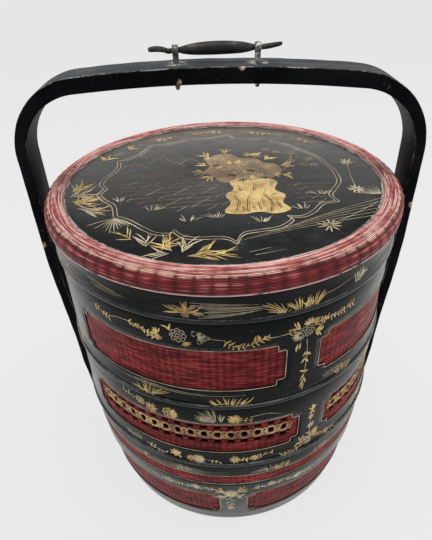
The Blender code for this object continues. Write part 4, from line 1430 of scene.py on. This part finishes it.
# %% Outlines of the windows
def outline_ring(tier, loop, radius, shift):
    """A low ridge along a window's edge."""
    out = outward(np.roll(loop, -1, 0) - np.roll(loop, 1, 0))
    rows = []
    ridge = (0.0001, -0.0002), (0.0001, 0.0001), (0.0004, 0.00018), (0.0008, 0.0001)
    for across, lift in ridge + ((0.0008, -0.0002),):
        flat = loop + out * across
        skin = SKIN[tier](flat[:, 1]) + lift
        rows.append(around(skin, flat[:, 0] / radius + shift, flat[:, 1] + STACK_Z[tier]))
    return np.stack(rows, 1), sheet_faces(len(loop), len(rows), True, True)


for tier in ("tier_1", "tier_2", "base"):
    loops, radius, shift = unrolled_windows(tier)
    ridges = [outline_ring(tier, loop, radius, shift) for loop in loops]
    piece(f"{tier}_window_outlines", gather(*ridges), LINE_GOLD, tier)


# %% Fine lines below and above the base's woven band
def fine_line(z):
    radius, half = float(base_radius(z)), 0.0004
    section = [(-0.0002, -half), (0.00008, -half), (0.00012, 0.0), (0.00008, half), (-0.0002, half)]
    return turned([(radius + r, z + h) for r, h in section])


piece("base_fine_lines", gather(fine_line(0.0948), fine_line(0.1106)), LINE_GOLD, "base")


# %% The same hand paints the front and the back
def paint_round(tier, to_space, paint, seed, body=None):
    gold, pale = Painter(seed), Painter(seed + 1)
    for half_turn in (0.0, 180.0):

        def place(azimuth, z):
            for brush in (gold, pale):
                brush.move((azimuth + half_turn) * MM_PER_DEGREE, z)

        paint(gold, pale, place)
    painted(f"{tier}_gold_brushwork", gold, to_space, GOLD, body or tier)
    painted(f"{tier}_pale_brushwork", pale, to_space, PALE_GOLD, body or tier)


# %% Painting on the upper tray
def paint_tier_1(gold, pale, place):
    place(-40.4, 84.5)
    gold.paired([(-9, 3), (0, 0), (9, -3)], 4.2, 1.3)
    pale.line([(9, -3), (18, 1), (30, 2)], 0.40, False)
    place(-25.6, 83.8)
    gold.paired([(-14, 3), (0, 0), (9, -3)], 4.0, 1.3)
    place(-20.2, 82)
    gold.aster(0, 0, 7.0, 9, 1.3, 60, 300)
    gold.paired([(4, -3), (-2, -5), (-8, -4)], 3.6, 1.4)
    place(-14.4, 83.5)
    pale.peony(0, 0, 6.6, 0.55)
    gold.aster(5, -6, 5.5, 8, 1.0, -120, 0)
    gold.twig(-6, 4, 120, 5, 6.5, 1.2, 60)
    place(-9, 83)
    pale.aster(0, 0, 6.5, 8, 0.8, -60, 80)
    for x, y in ((-2, 4), (3, 3), (2, -4), (7, 0)):
        pale.petals(x, y, 1.4, 3, 1.3, 0.5)
    pale.line([(6, 0), (12, -1), (19, -2)], 0.40, False)
    place(3.5, 74)
    gold.paired([(-16, 7.5), (-9, 1), (0, -1), (9.5, 2), (19, 6)], 4.4, 1.35, 3.2)
    gold.leaf(8, 2, 80, 7.5, 2.0)
    gold.leaf(12, 4, 100, 6.5, 1.8)
    gold.leaf(14, 4, 40, 6.0, 1.6)
    place(13, 79)
    pale.line([(-7, 0), (0, 0), (10, 1)], 0.40, False)
    gold.paired([(5, 0), (13, 1)], 4.4, 1.3)
    place(22, 76)
    pale.peony(0, 1, 5.8, 0.6)
    gold.aster(2, 7, 7.5, 11, 1.2, 10, 170)
    pale.aster(-8, -2, 6.5, 12, 1.0, 60, 330)
    gold.twig(7, -2, -25, 7, 9.0, 1.5, 70)
    gold.twig(-6, 5, 150, 6, 9.0, 1.4, 60)
    gold.twig(6, 4, 40, 6, 8.0, 1.4, 60)
    gold.paired([(8, 6), (16, 8), (28, 6), (46, 8)], 4.4, 1.2, 3.2)
    gold.aster(15, 7, 4.5, 7, 1.3)
    gold.leaf(-8, -11, -110, 8.5, 2.0, 0.2)
    gold.leaf(-6, -10, -85, 7.5, 1.7, -0.2)
    gold.line([(0, -8), (1.5, -26), (0.6, -49)], 0.45, False)
    for drop, angle, size in (
        (-22, -120, 6), (-24, -35, 6), (-26, 30, 4), (-29, -125, 7), (-31, -60, 5), (-46, 150, 5),
        (-47, 25, 4), (-49, -115, 9), (-53, -75, 8), (-55, -110, 10), (-60, -100, 8),
    ):
        gold.leaf(0.6, drop, angle, size, 2.0)
    place(-26.5, 4.8)
    gold.tuft(0, 0, 20, 12, 14.0, 0.55, 0)
    gold.sheaf(2, 1, 0.7, ((14, 22), (20, 20), (28, 17), (166, 19), (158, 17)), 0.15)
    place(0, 16)
    for rise in (0, 1.7, 3.0, 4.0):
        start, end = -100 + 6 * rise, 12 - 22 * rise
        pale.line([(start, rise + 1), ((start + end) / 2, rise * 1.1), (end, rise * 0.6)], 0.40)
    place(-1, 4.8)
    gold.tuft(0, 0, 22, 24, 10.0, 0.6)
    gold.leaf(13, 0, 32, 12, 0.8, 0.2)
    gold.leaf(-13, 2, -10, 14, 0.6, 0.3)
    for azimuth in (38, 66, 96, -62, -82):
        place(azimuth, 5)
        gold.tuft(0, 0, 16, 14, 10, 0.6)
        pale.long_lines(-20, 8, 4, 34, 5)
    for azimuth in (62, 84, 112):
        place(azimuth, 82)
        gold.paired([(-24, 3), (-10, -2), (8, 0), (24, 3)], 4.2, 1.3, 3.2)
        pale.aster(0, 0, 5.5, 9, 1.2)
        gold.aster(14, 1, 4.5, 8, 1.2)


paint_round("tier_1", on_tier("tier_1"), paint_tier_1, 11)


# %% Painting on the lower tray
def paint_tier_2(gold, pale, place):
    place(-26.7, 71)
    gold.aster(0, 0, 8.0, 13, 1.4)
    gold.twig(-6, 3, 160, 8, 9, 1.1, 70)
    pale.paired([(-8, 4), (-18, 6), (-30, 8)], 3.8, 1.1)
    place(-20.2, 71.5)
    gold.peony(0, 0, 6.0, 1.0)
    gold.aster(1, 0, 8.0, 11, 1.3, -70, 60)
    place(-5, 66)
    pale.aster(0, 0, 21, 12, 0.7, 92, 172)
    pale.aster(-10, 0, 13, 9, 0.6, 50, 150)
    pale.aster(4, 1, 12, 5, 0.6, 60, 110)
    place(0.6, 71.5)
    gold.aster(0, 0, 7.5, 14, 1.5)
    gold.aster(0, 0, 4.0, 8, 1.2)
    gold.paired([(5, -1), (14, -2)], 4.0, 1.5, 3.0)
    pale.line([(14, 2), (30, 3), (44, -2)], 0.5)
    place(27.4, 57)
    gold.sheaf(0, 0, 1.9, ((95, 9), (60, 7.5), (128, 7), (80, 8), (-60, 6), (-125, 6)))
    gold.line([(0, 0), (-1, -10), (-1, -22), (0, -34)], 0.5, False)
    gold.aster(-1, -9, 4.0, 7, 1.4)
    pale.aster(0, -22, 5.0, 9, 1.2)
    place(26.8, 13)
    gold.twig(2, 2, 80, 8, 12, 1.5, 80)
    gold.twig(-4, -1, 150, 8, 12, 1.4, 80)
    gold.twig(6, 0, 30, 8, 12, 1.4, 80)
    pale.aster(0, 0, 6.5, 12, 1.3)
    gold.paired([(-8, -4), (-16, -6), (-28, -7)], 4.0, 1.4, 3.0)
    gold.aster(24, -3, 5.0, 9, 1.3)
    gold.paired([(10, 0), (20, -3), (34, -4)], 3.8, 1.3, 3.2)
    place(-37.5, 11.5)
    pale.paired([(-10, 2), (0, 0), (10, 2)], 3.6, 1.0)
    place(-27, 9)
    pale.paired([(-12, 2), (0, 0), (10, -2)], 4.0, 1.4, 3.4)
    place(-19, 11)
    blades = (150, 10), (120, 9), (95, 7), (175, 9), (60, 6), (-60, 5), (-150, 6)
    gold.sheaf(1, -1, 2.2, blades, 0.1)
    place(-11.5, 9.5)
    pale.aster(0, 0, 7.5, 22, 1.0)
    gold.aster(-8, 0, 5.5, 9, 1.2)
    gold.aster(0, -1, 4.0, 10, 0.9)
    pale.paired([(8, 0), (14, -1), (20, -2)], 3.4, 1.4)
    for azimuth in (58, 84, 108):
        place(azimuth, 73)
        gold.aster(0, 0, 6.5, 12, 1.4)
        pale.aster(-12, -5, 14, 12, 0.6, 30, 150)
        gold.paired([(4, 0), (14, 1), (26, -1)], 3.8, 1.3, 3.2)
        place(azimuth, 12)
        pale.aster(0, 0, 6.0, 12, 1.1)
        gold.paired([(-24, 0), (-8, 1), (8, -1), (24, 1)], 4.0, 1.3, 3.2)
    place(3, 11)
    gold.aster(-7, 0, 6.0, 9, 1.7)
    gold.paired([(-4, 0), (6, -1), (16, 1), (28, 3)], 4.0, 1.4, 3.0)
    gold.aster(12, 0, 4.5, 8, 1.3)


paint_round("tier_2", on_tier("tier_2"), paint_tier_2, 21)


# %% Painting on the base
def paint_base(gold, pale, place):
    place(-12, 112)
    pale.long_lines(-30, 4, 6, 60, 9)
    pale.tuft(-16, 0, 14, 14, 9, 0.6)
    place(14, 112)
    pale.tuft(0, 0, 16, 16, 10, 0.7)
    gold.tuft(10, 0, 12, 12, 9, 0.7)
    pale.long_lines(-20, 3, 3, 30, 3)
    for azimuth in (33, -34, 52, -55, 75, -78):
        place(azimuth, 112)
        pale.tuft(0, 0, 12, 13, 9, 0.6)
        pale.long_lines(8, 3, 4, 34, 5)
    place(-1, 73)
    pale.aster(0, 0, 10, 16, 1.5)
    gold.peony(0, 0, 5.0, 0.9)
    gold.twig(6, 4, 40, 8, 12, 1.6, 60)
    gold.twig(-6, 3, 140, 8, 12, 1.6, 60)
    pale.twig(-5, -5, 200, 6, 10, 1.4, 60)
    pale.twig(5, -5, -20, 6, 10, 1.4, 60)
    pale.hanging(0, -6, 26, 7.0, 2.0)
    gold.sheaf(0, -32, 2.2, ((-100, 12), (-70, 10), (-120, 9)))
    for side in (-1, 1):
        place(side * 12, 83)
        pale.paired([(-side * 16, -2), (0, 0), (side * 16, 0), (side * 34, -2)], 4.6, 1.5, 3.2)
        pale.aster(side * 6, 1, 6.0, 10, 1.3)
        place(side * 25, 81)
        pale.aster(0, 0, 6.5, 11, 1.3)
        pale.paired([(0, 0), (side * 16, 0), (side * 34, 2)], 4.2, 1.4, 3.2)
        place(side * 40, 16)
        pale.paired([(-20, 1), (0, -1), (20, 1)], 3.8, 1.2, 3.2)


paint_round("base", on_tier("base"), paint_base, 31)


# %% Painting on the lid's side
def paint_lid_side(gold, pale, place):
    place(-11.5, 12)
    gold.twig(-1, -2, 60, 7, 9.5, 0.8, 55)
    gold.twig(0, -2, 120, 7, 9.5, 0.8, 55)
    gold.twig(2, -2, 15, 6, 11, 0.7, 40)
    gold.twig(-2, -2, 170, 6, 12, 0.7, 30)
    gold.aster(0, -3, 4.0, 8, 0.8)
    place(-34, 14)
    pale.long_lines(-18, 2, 5, 42, 7, -0.06)
    place(0, 13)
    pale.long_lines(-24, 0, 13, 58, 14, 0.02)
    place(14.6, 5.2)
    blades = (139, 20), (147, 22), (155, 18), (163, 15), (130, 15), (112, 11)
    gold.sheaf(0, 0, 0.7, blades, 0.04)
    gold.tuft(-2, 0, 8, 8, 6, 0.6)
    place(20.8, 5.2)
    gold.tuft(-4, 0, 15, 12, 12, 0.7, 6)
    gold.tuft(4, 0, 15, 9, 13, 0.75, -10)
    place(27, 12)
    gold.line([(0, 0), (14, 2), (32, 6)], 0.35)
    place(37, 12)
    pale.twig(0, -3, 50, 9, 12, 0.9, 60)
    pale.twig(6, 0, 40, 7, 10, 0.9, 60)
    for azimuth in (56, 76, 98, -58):
        place(azimuth, 8)
        pale.tuft(0, 0, 14, 16, 11, 0.5)
        pale.long_lines(6, 4, 5, 40, 8)


paint_round("lid_side", lid_side, paint_lid_side, 41, "lid")

# %% [markdown]
# ## Painting on the lid
#
# A lobed frame in a double line encloses a garden: a gold rock under a bush of peonies, a plum
# branch, ground lines and distant hills. Sprays of bamboo and small star flowers fill the margin.
# The frame is drawn through its corner points, smooth between them and sharp at each corner.

# %% The lobed frame: runs of points between sharp corners
FRAME_RUNS = [
    [(-113, -16), (-119, -5), (-117, 9), (-111, 22), (-108, 36), (-110, 50)],
    [(-110, 50), (-100, 58), (-90, 68), (-84, 82), (-80, 95)],
    [(-80, 95), (-60, 98), (-44, 106), (-40, 112)],
    [(-40, 112), (-20, 112), (0, 116), (10, 122)],
    [(10, 122), (18, 110), (34, 104), (58, 100)],
    [(58, 100), (62, 92), (78, 80), (86, 66)],
    [(86, 66), (96, 54), (104, 40), (108, 24), (113, 8)],
    [(113, 8), (112, -18), (103, -36), (98, -46), (101, -59)],
    [(101, -59), (87, -63), (77, -76), (66, -84), (54, -83)],
    [(54, -83), (56, -90), (44, -101), (27, -105), (14, -109), (8, -122)],
    [(8, -122), (-2, -114), (-26, -113), (-36, -109), (-43, -100)],
    [(-43, -100), (-47, -105), (-58, -103), (-68, -95), (-83, -80), (-95, -72)],
    [(-95, -72), (-100, -52), (-111, -39), (-117, -28), (-113, -16)],
]


def paint_lid_frame(brush):
    for run in FRAME_RUNS:
        brush.line(run, 0.85, False)
        brush.line([(x * 0.967, y * 0.967) for x, y in run], 0.70, False)


# %% Margin: sprays of bamboo, star flowers, and a garland along the back
def paint_margin(gold, pale, brown):
    sprays = [
        (-142, -20, 60, 10, 22), (-142, -30, 20, 9, 24), (-138, -40, -8, 9, 24),
        (-134, -46, 40, 8, 20), (-130, -54, -14, 9, 26), (-120, -60, 8, 7, 18),
        (-75, -110, 128, 5, 18), (-62, -121, 100, 7, 18), (-50, -126, 60, 8, 20),
        (-42, -128, 120, 8, 20), (-34, -131, 75, 8, 20), (-24, -134, 25, 8, 22),
        (-14, -136, 10, 7, 22), (-44, -132, 165, 7, 18), (-30, -136, 0, 6, 24),
    ]
    for number, (x, y, turn, count, length) in enumerate(sprays):
        (pale if number % 3 == 1 else gold).twig(x, y, turn, count, length, 1.05, 45)
    for angle in (-156, -134, -118, -104, -94, -84, -74, -64, -54, -46, -38):
        pale.leaf(-94, -74, angle, 17 + 9 * sin(radians(angle * 3)) ** 2, 0.8, 0.06)
    for x, y, radius in ((84, -99, 11), (122, -36, 9), (128, 26, 9)):
        pale.aster(x, y, radius, 10, 1.5)
    pale.line([(128, 26), (124, -4), (122, -36)], 0.45, False)
    pale.line([(84, -99), (106, -84), (134, -62)], 0.45, False)
    for i, angle in enumerate((166, 158, 150, 140, 128, 114, 100, 88, 172)):
        pale.leaf(141, -48, angle, 24 - 1.2 * i, 0.8, 0.05)
    for shift in range(6):
        start = (138 - shift * 3, -56 - shift * 6)
        end = (52 - shift * 9, -98 - shift * 4)
        pale.line([start, ((start[0] + end[0]) / 2, (start[1] + end[1]) / 2 + 2), end], 0.42)
    pale.line([(16, -134), (34, -128)], 0.42)
    pale.line([(20, -138), (44, -132)], 0.42)
    for start, end, leaf in ((130, 112, 5.4), (109, 84, 6.2), (82, 58, 6.0), (54, 40, 5.0)):
        turn = np.radians(np.linspace(start, end, 5))
        arc = np.stack([135 * np.cos(turn), 133 * np.sin(turn)], -1)
        brown.paired([tuple(p) for p in arc], leaf, 2.0, 3.6)
        gold.paired([tuple(p * 0.975) for p in arc[1:-1]], leaf * 0.8, 1.6, 4.8)
    for angle, radius in ((121, 5), (101, 6), (92, 7), (76, 6), (66, 6), (46, 5), (147, 5)):
        a = radians(angle)
        pale.blossom(133 * cos(a), 131 * sin(a), radius)
    gold.twig(-124, 54, 60, 8, 14, 1.4, 80)
    gold.twig(-104, 86, 40, 7, 12, 1.3, 80)


# %% The garden: gold rock, bush of peonies, plum branch, hills and ground
ROCK = [
    (0, -70), (14, -75), (30, -72), (44, -76), (57, -69), (52, -56), (56, -42), (48, -30), (52, -14),
    (42, -4), (28, -8), (16, -2), (7, -12), (10, -26), (2, -38), (6, -54),
]
BUSH = [
    (2, -12), (20, -6), (38, -8), (52, -2), (60, 12), (56, 28), (44, 34), (36, 46), (20, 48),
    (10, 60), (-6, 58), (-16, 44), (-12, 28), (-18, 14), (-8, 2),
]
CRACKS = [
    [(10, -68), (13, -52), (9, -40)], [(20, -71), (21, -50), (26, -34)], [(31, -68), (30, -54)],
    [(40, -72), (42, -54), (37, -40), (40, -26)], [(49, -66), (46, -52)], [(16, -30), (14, -18)],
    [(28, -30), (30, -16)], [(6, -30), (12, -34)], [(45, -24), (46, -12)], [(34, -48), (35, -62)],
    [(16, -62), (17, -70)], [(25, -60), (26, -70)], [(47, -38), (42, -44)],
]


def paint_garden(gold, pale, brown, dark):
    gold.area(ROCK)
    brown.area(BUSH)
    for crack in CRACKS:
        dark.line(crack, 0.9)
        dark.line([(x + 1.6, y - 1) for x, y in crack], 0.45)
    for x, y, radius in ((10, 18, 10), (30, 28, 11), (42, 8, 9), (-4, 42, 9), (20, 2, 6)):
        pale.peony(x, y, radius, 0.7)
        gold.aster(x + radius, y - radius * 0.6, 9, 7, 1.3, -60, 60)
        gold.aster(x - radius * 0.8, y + radius * 0.7, 9, 7, 1.2, 100, 220)
        dark.aster(x, y - radius, 7, 6, 1.1, -150, -30)
    for x, y, turn in (
        (-14, 30, 150), (-16, 14, 190), (-12, 54, 130), (6, 62, 90), (28, 50, 70), (46, 40, 50),
        (60, 22, 20), (58, 2, -20), (36, 48, 80), (-8, 4, 210),
    ):
        gold.twig(x, y, turn, 6, 13, 1.5, 60)
    brown.line([(52, 2), (64, 16), (72, 34), (76, 54), (86, 70)], 1.3, False)
    brown.line([(66, 20), (80, 26), (96, 40)], 1.0, False)
    brown.line([(74, 44), (62, 60), (48, 70)], 0.9, False)
    brown.line([(80, 26), (92, 22)], 0.8)
    for x, y in ((76, 56), (84, 66), (92, 38), (84, 24), (60, 60), (50, 68), (72, 34), (94, 22)):
        pale.blossom(x, y, 4.0)
    for i in range(8):
        y = -8 - 8 * i
        start = -108 + 6 * i
        brown.line([(start, y), (-60, y + 4), (-6 + 2 * (i % 3), y + 9)], 0.5, False)
        for k in range(3):
            x = start + 18 + 26 * k + 7 * (i % 3)
            pale.line([(x, y - 2), (x + 9, y + 7)], 0.4)
    for i in range(5):
        y = -22 - 9 * i
        brown.line([(60 + 2 * i, y), (80, y + 1), (104 - 4 * i, y)], 0.5, False)
        pale.line([(66 + 4 * i, y - 3), (76 + 4 * i, y + 6)], 0.4)
    for x, y in ((-92, -44), (-62, -62), (-30, -84), (-6, -80), (30, -90), (68, -70), (88, -44)):
        pale.tuft(x, y, 9, 8, 12, 0.6)
    for x, y, wide, tall in ((-88, 26, 34, 16), (-58, 32, 42, 24), (-30, 36, 26, 14)):
        ridge = [(x - wide / 2, y), (x - wide / 6, y + tall), (x + wide / 5, y + tall * 0.5)]
        brown.line([*ridge, (x + wide / 2, y)], 0.9, False)
        brown.line([(x - wide / 6, y + tall), (x - wide / 12, y + tall * 0.3)], 0.6)
    for i in range(5):
        brown.line([(-92 + 6 * i, 14 - 3 * i), (-56, 16 - 3 * i), (-20 - 4 * i, 18 - 3 * i)], 0.7)


gold, pale, brown, dark = (Painter(seed) for seed in (51, 52, 53, 54))
frame_line = Painter(55)
DARK_LINE = lacquer("dark_line_lacquer")
paint_lid_frame(frame_line)
paint_margin(gold, pale, brown)
paint_garden(gold, pale, brown, dark)
painted("lid_lobed_frame", frame_line, lid_top, LINE_GOLD, "lid")
painted("lid_brown_brushwork", brown, lid_top, BROWN_GOLD, "lid")
painted("lid_gold_brushwork", gold, lid_top, GOLD, "lid", 0.00006)
painted("lid_dark_brushwork", dark, lid_top, DARK_LINE, "lid", 0.00012)
painted("lid_pale_brushwork", pale, lid_top, PALE_GOLD, "lid", 0.00016)

# %% [markdown]
# ## Stage, light and camera
#
# The basket stands on a plain pale floor under soft studio light. One broad lamp hangs overhead, so
# each hoop throws a dark shadow under it. A weak one lights the front, two broad ones at the sides
# brighten the flanks, and the world adds a dim room. The camera, and gloss too, see a pale
# backdrop. The camera looks down at the lid from close by, which is why the tiers seem to draw in.


# %% What the camera and gloss see: rays of these kinds meet a plain pale backdrop
def sees_backdrop(tree):
    rays = [add_node(tree, "ShaderNodeLightPath", out=k) for k in (0, 3, 6)]
    return (rays[0] + rays[1] + rays[2]).between(0.0, 0.5)


# %% Floor
def pale_floor(name):
    look = Finish(name)
    glow = add_node(look.tree, "ShaderNodeEmission", None, {"Color": (0.828, 0.828, 0.828, 1.0)})
    matt = add_node(look.tree, "ShaderNodeBsdfDiffuse", None, {"Color": (0.72, 0.72, 0.72, 1.0)})
    share = sees_backdrop(look.tree) * 0.90
    blend = look.place.node("ShaderNodeMixShader", None, {0: share, 1: matt, 2: glow})
    output = look.tree.nodes["Material Output"]
    look.tree.links.new(blend.socket, output.inputs["Surface"])
    return look.material


GROUND_HALF, GROUND_Z = 6, -0.0005
mesh = bpy.data.meshes.new("floor")
square = (-1, -1), (1, -1), (1, 1), (-1, 1)
corners = [(x * GROUND_HALF, y * GROUND_HALF, GROUND_Z) for x, y in square]
mesh.from_pydata(corners, [], [(0, 1, 2, 3)])
mesh.materials.append(pale_floor("pale_floor"))
floor_plane = add_object("floor", mesh)

# %% World: the backdrop, and for matt surfaces a room that is brighter overhead
world = bpy.data.worlds.new("studio")
bpy.context.scene.world = world
world.use_nodes = True
tree = world.node_tree
tree.nodes.clear()
way = add_node(tree, "ShaderNodeTexCoord")
height = way.node("ShaderNodeSeparateXYZ", None, {0: way}, out=2)
room = height.between(-0.05, 0.95) * 0.62 + 0.14
lit = way.node("ShaderNodeBackground", None, {"Color": (1.0, 1.0, 1.0, 1.0), "Strength": room})
seen = way.node("ShaderNodeBackground", None, {"Color": (0.806, 0.806, 0.806, 1.0), "Strength": 1.0})
blend = way.node("ShaderNodeMixShader", None, {0: sees_backdrop(tree), 1: lit, 2: seen})
add_node(tree, "ShaderNodeOutputWorld", None, {0: blend})


# %% Lamps
def lamp(name, place, aim, size, power):
    data = bpy.data.lights.new(name, "AREA")
    data.shape, data.size, data.energy = "DISK", size, power
    made = add_object(name, data)
    made.location = place
    made.rotation_euler = (Vector(aim) - Vector(place)).to_track_quat("-Z", "Y").to_euler()


lamp("overhead", (0.05, -0.20, 1.9), (0.0, 0.0, 0.3), 0.9, 15.0)
lamp("front", (-0.8, -1.9, 1.5), (0.0, 0.0, 0.2), 1.2, 6.0)
lamp("right", (1.5, 0.35, 0.95), (0.0, 0.0, 0.3), 1.6, 10.0)
lamp("left", (-1.5, 0.40, 0.95), (0.0, 0.0, 0.3), 1.6, 6.0)

# %% Camera
CAMERA_PLACE = (-0.0087, -0.4246, 0.5497)
YAW, PITCH, ROLL = radians(-0.11), radians(35.5), radians(-2.3)
forward = Vector((sin(YAW) * cos(PITCH), cos(YAW) * cos(PITCH), -sin(PITCH)))
level = Vector((cos(YAW), -sin(YAW), 0.0))
upright = level.cross(forward)
right = cos(ROLL) * level + sin(ROLL) * upright
above = -sin(ROLL) * level + cos(ROLL) * upright
data = bpy.data.cameras.new("photograph")
data.lens, data.sensor_width, data.clip_start = 31.2, 36.0, 0.01
camera = add_object("photograph", data)
turned_to = Matrix((right, above, -forward)).transposed().to_4x4()
camera.matrix_world = Matrix.Translation(CAMERA_PLACE) @ turned_to
bpy.context.scene.camera = camera
bpy.context.scene.view_settings.view_transform = "Standard"
print("camera at", CAMERA_PLACE)
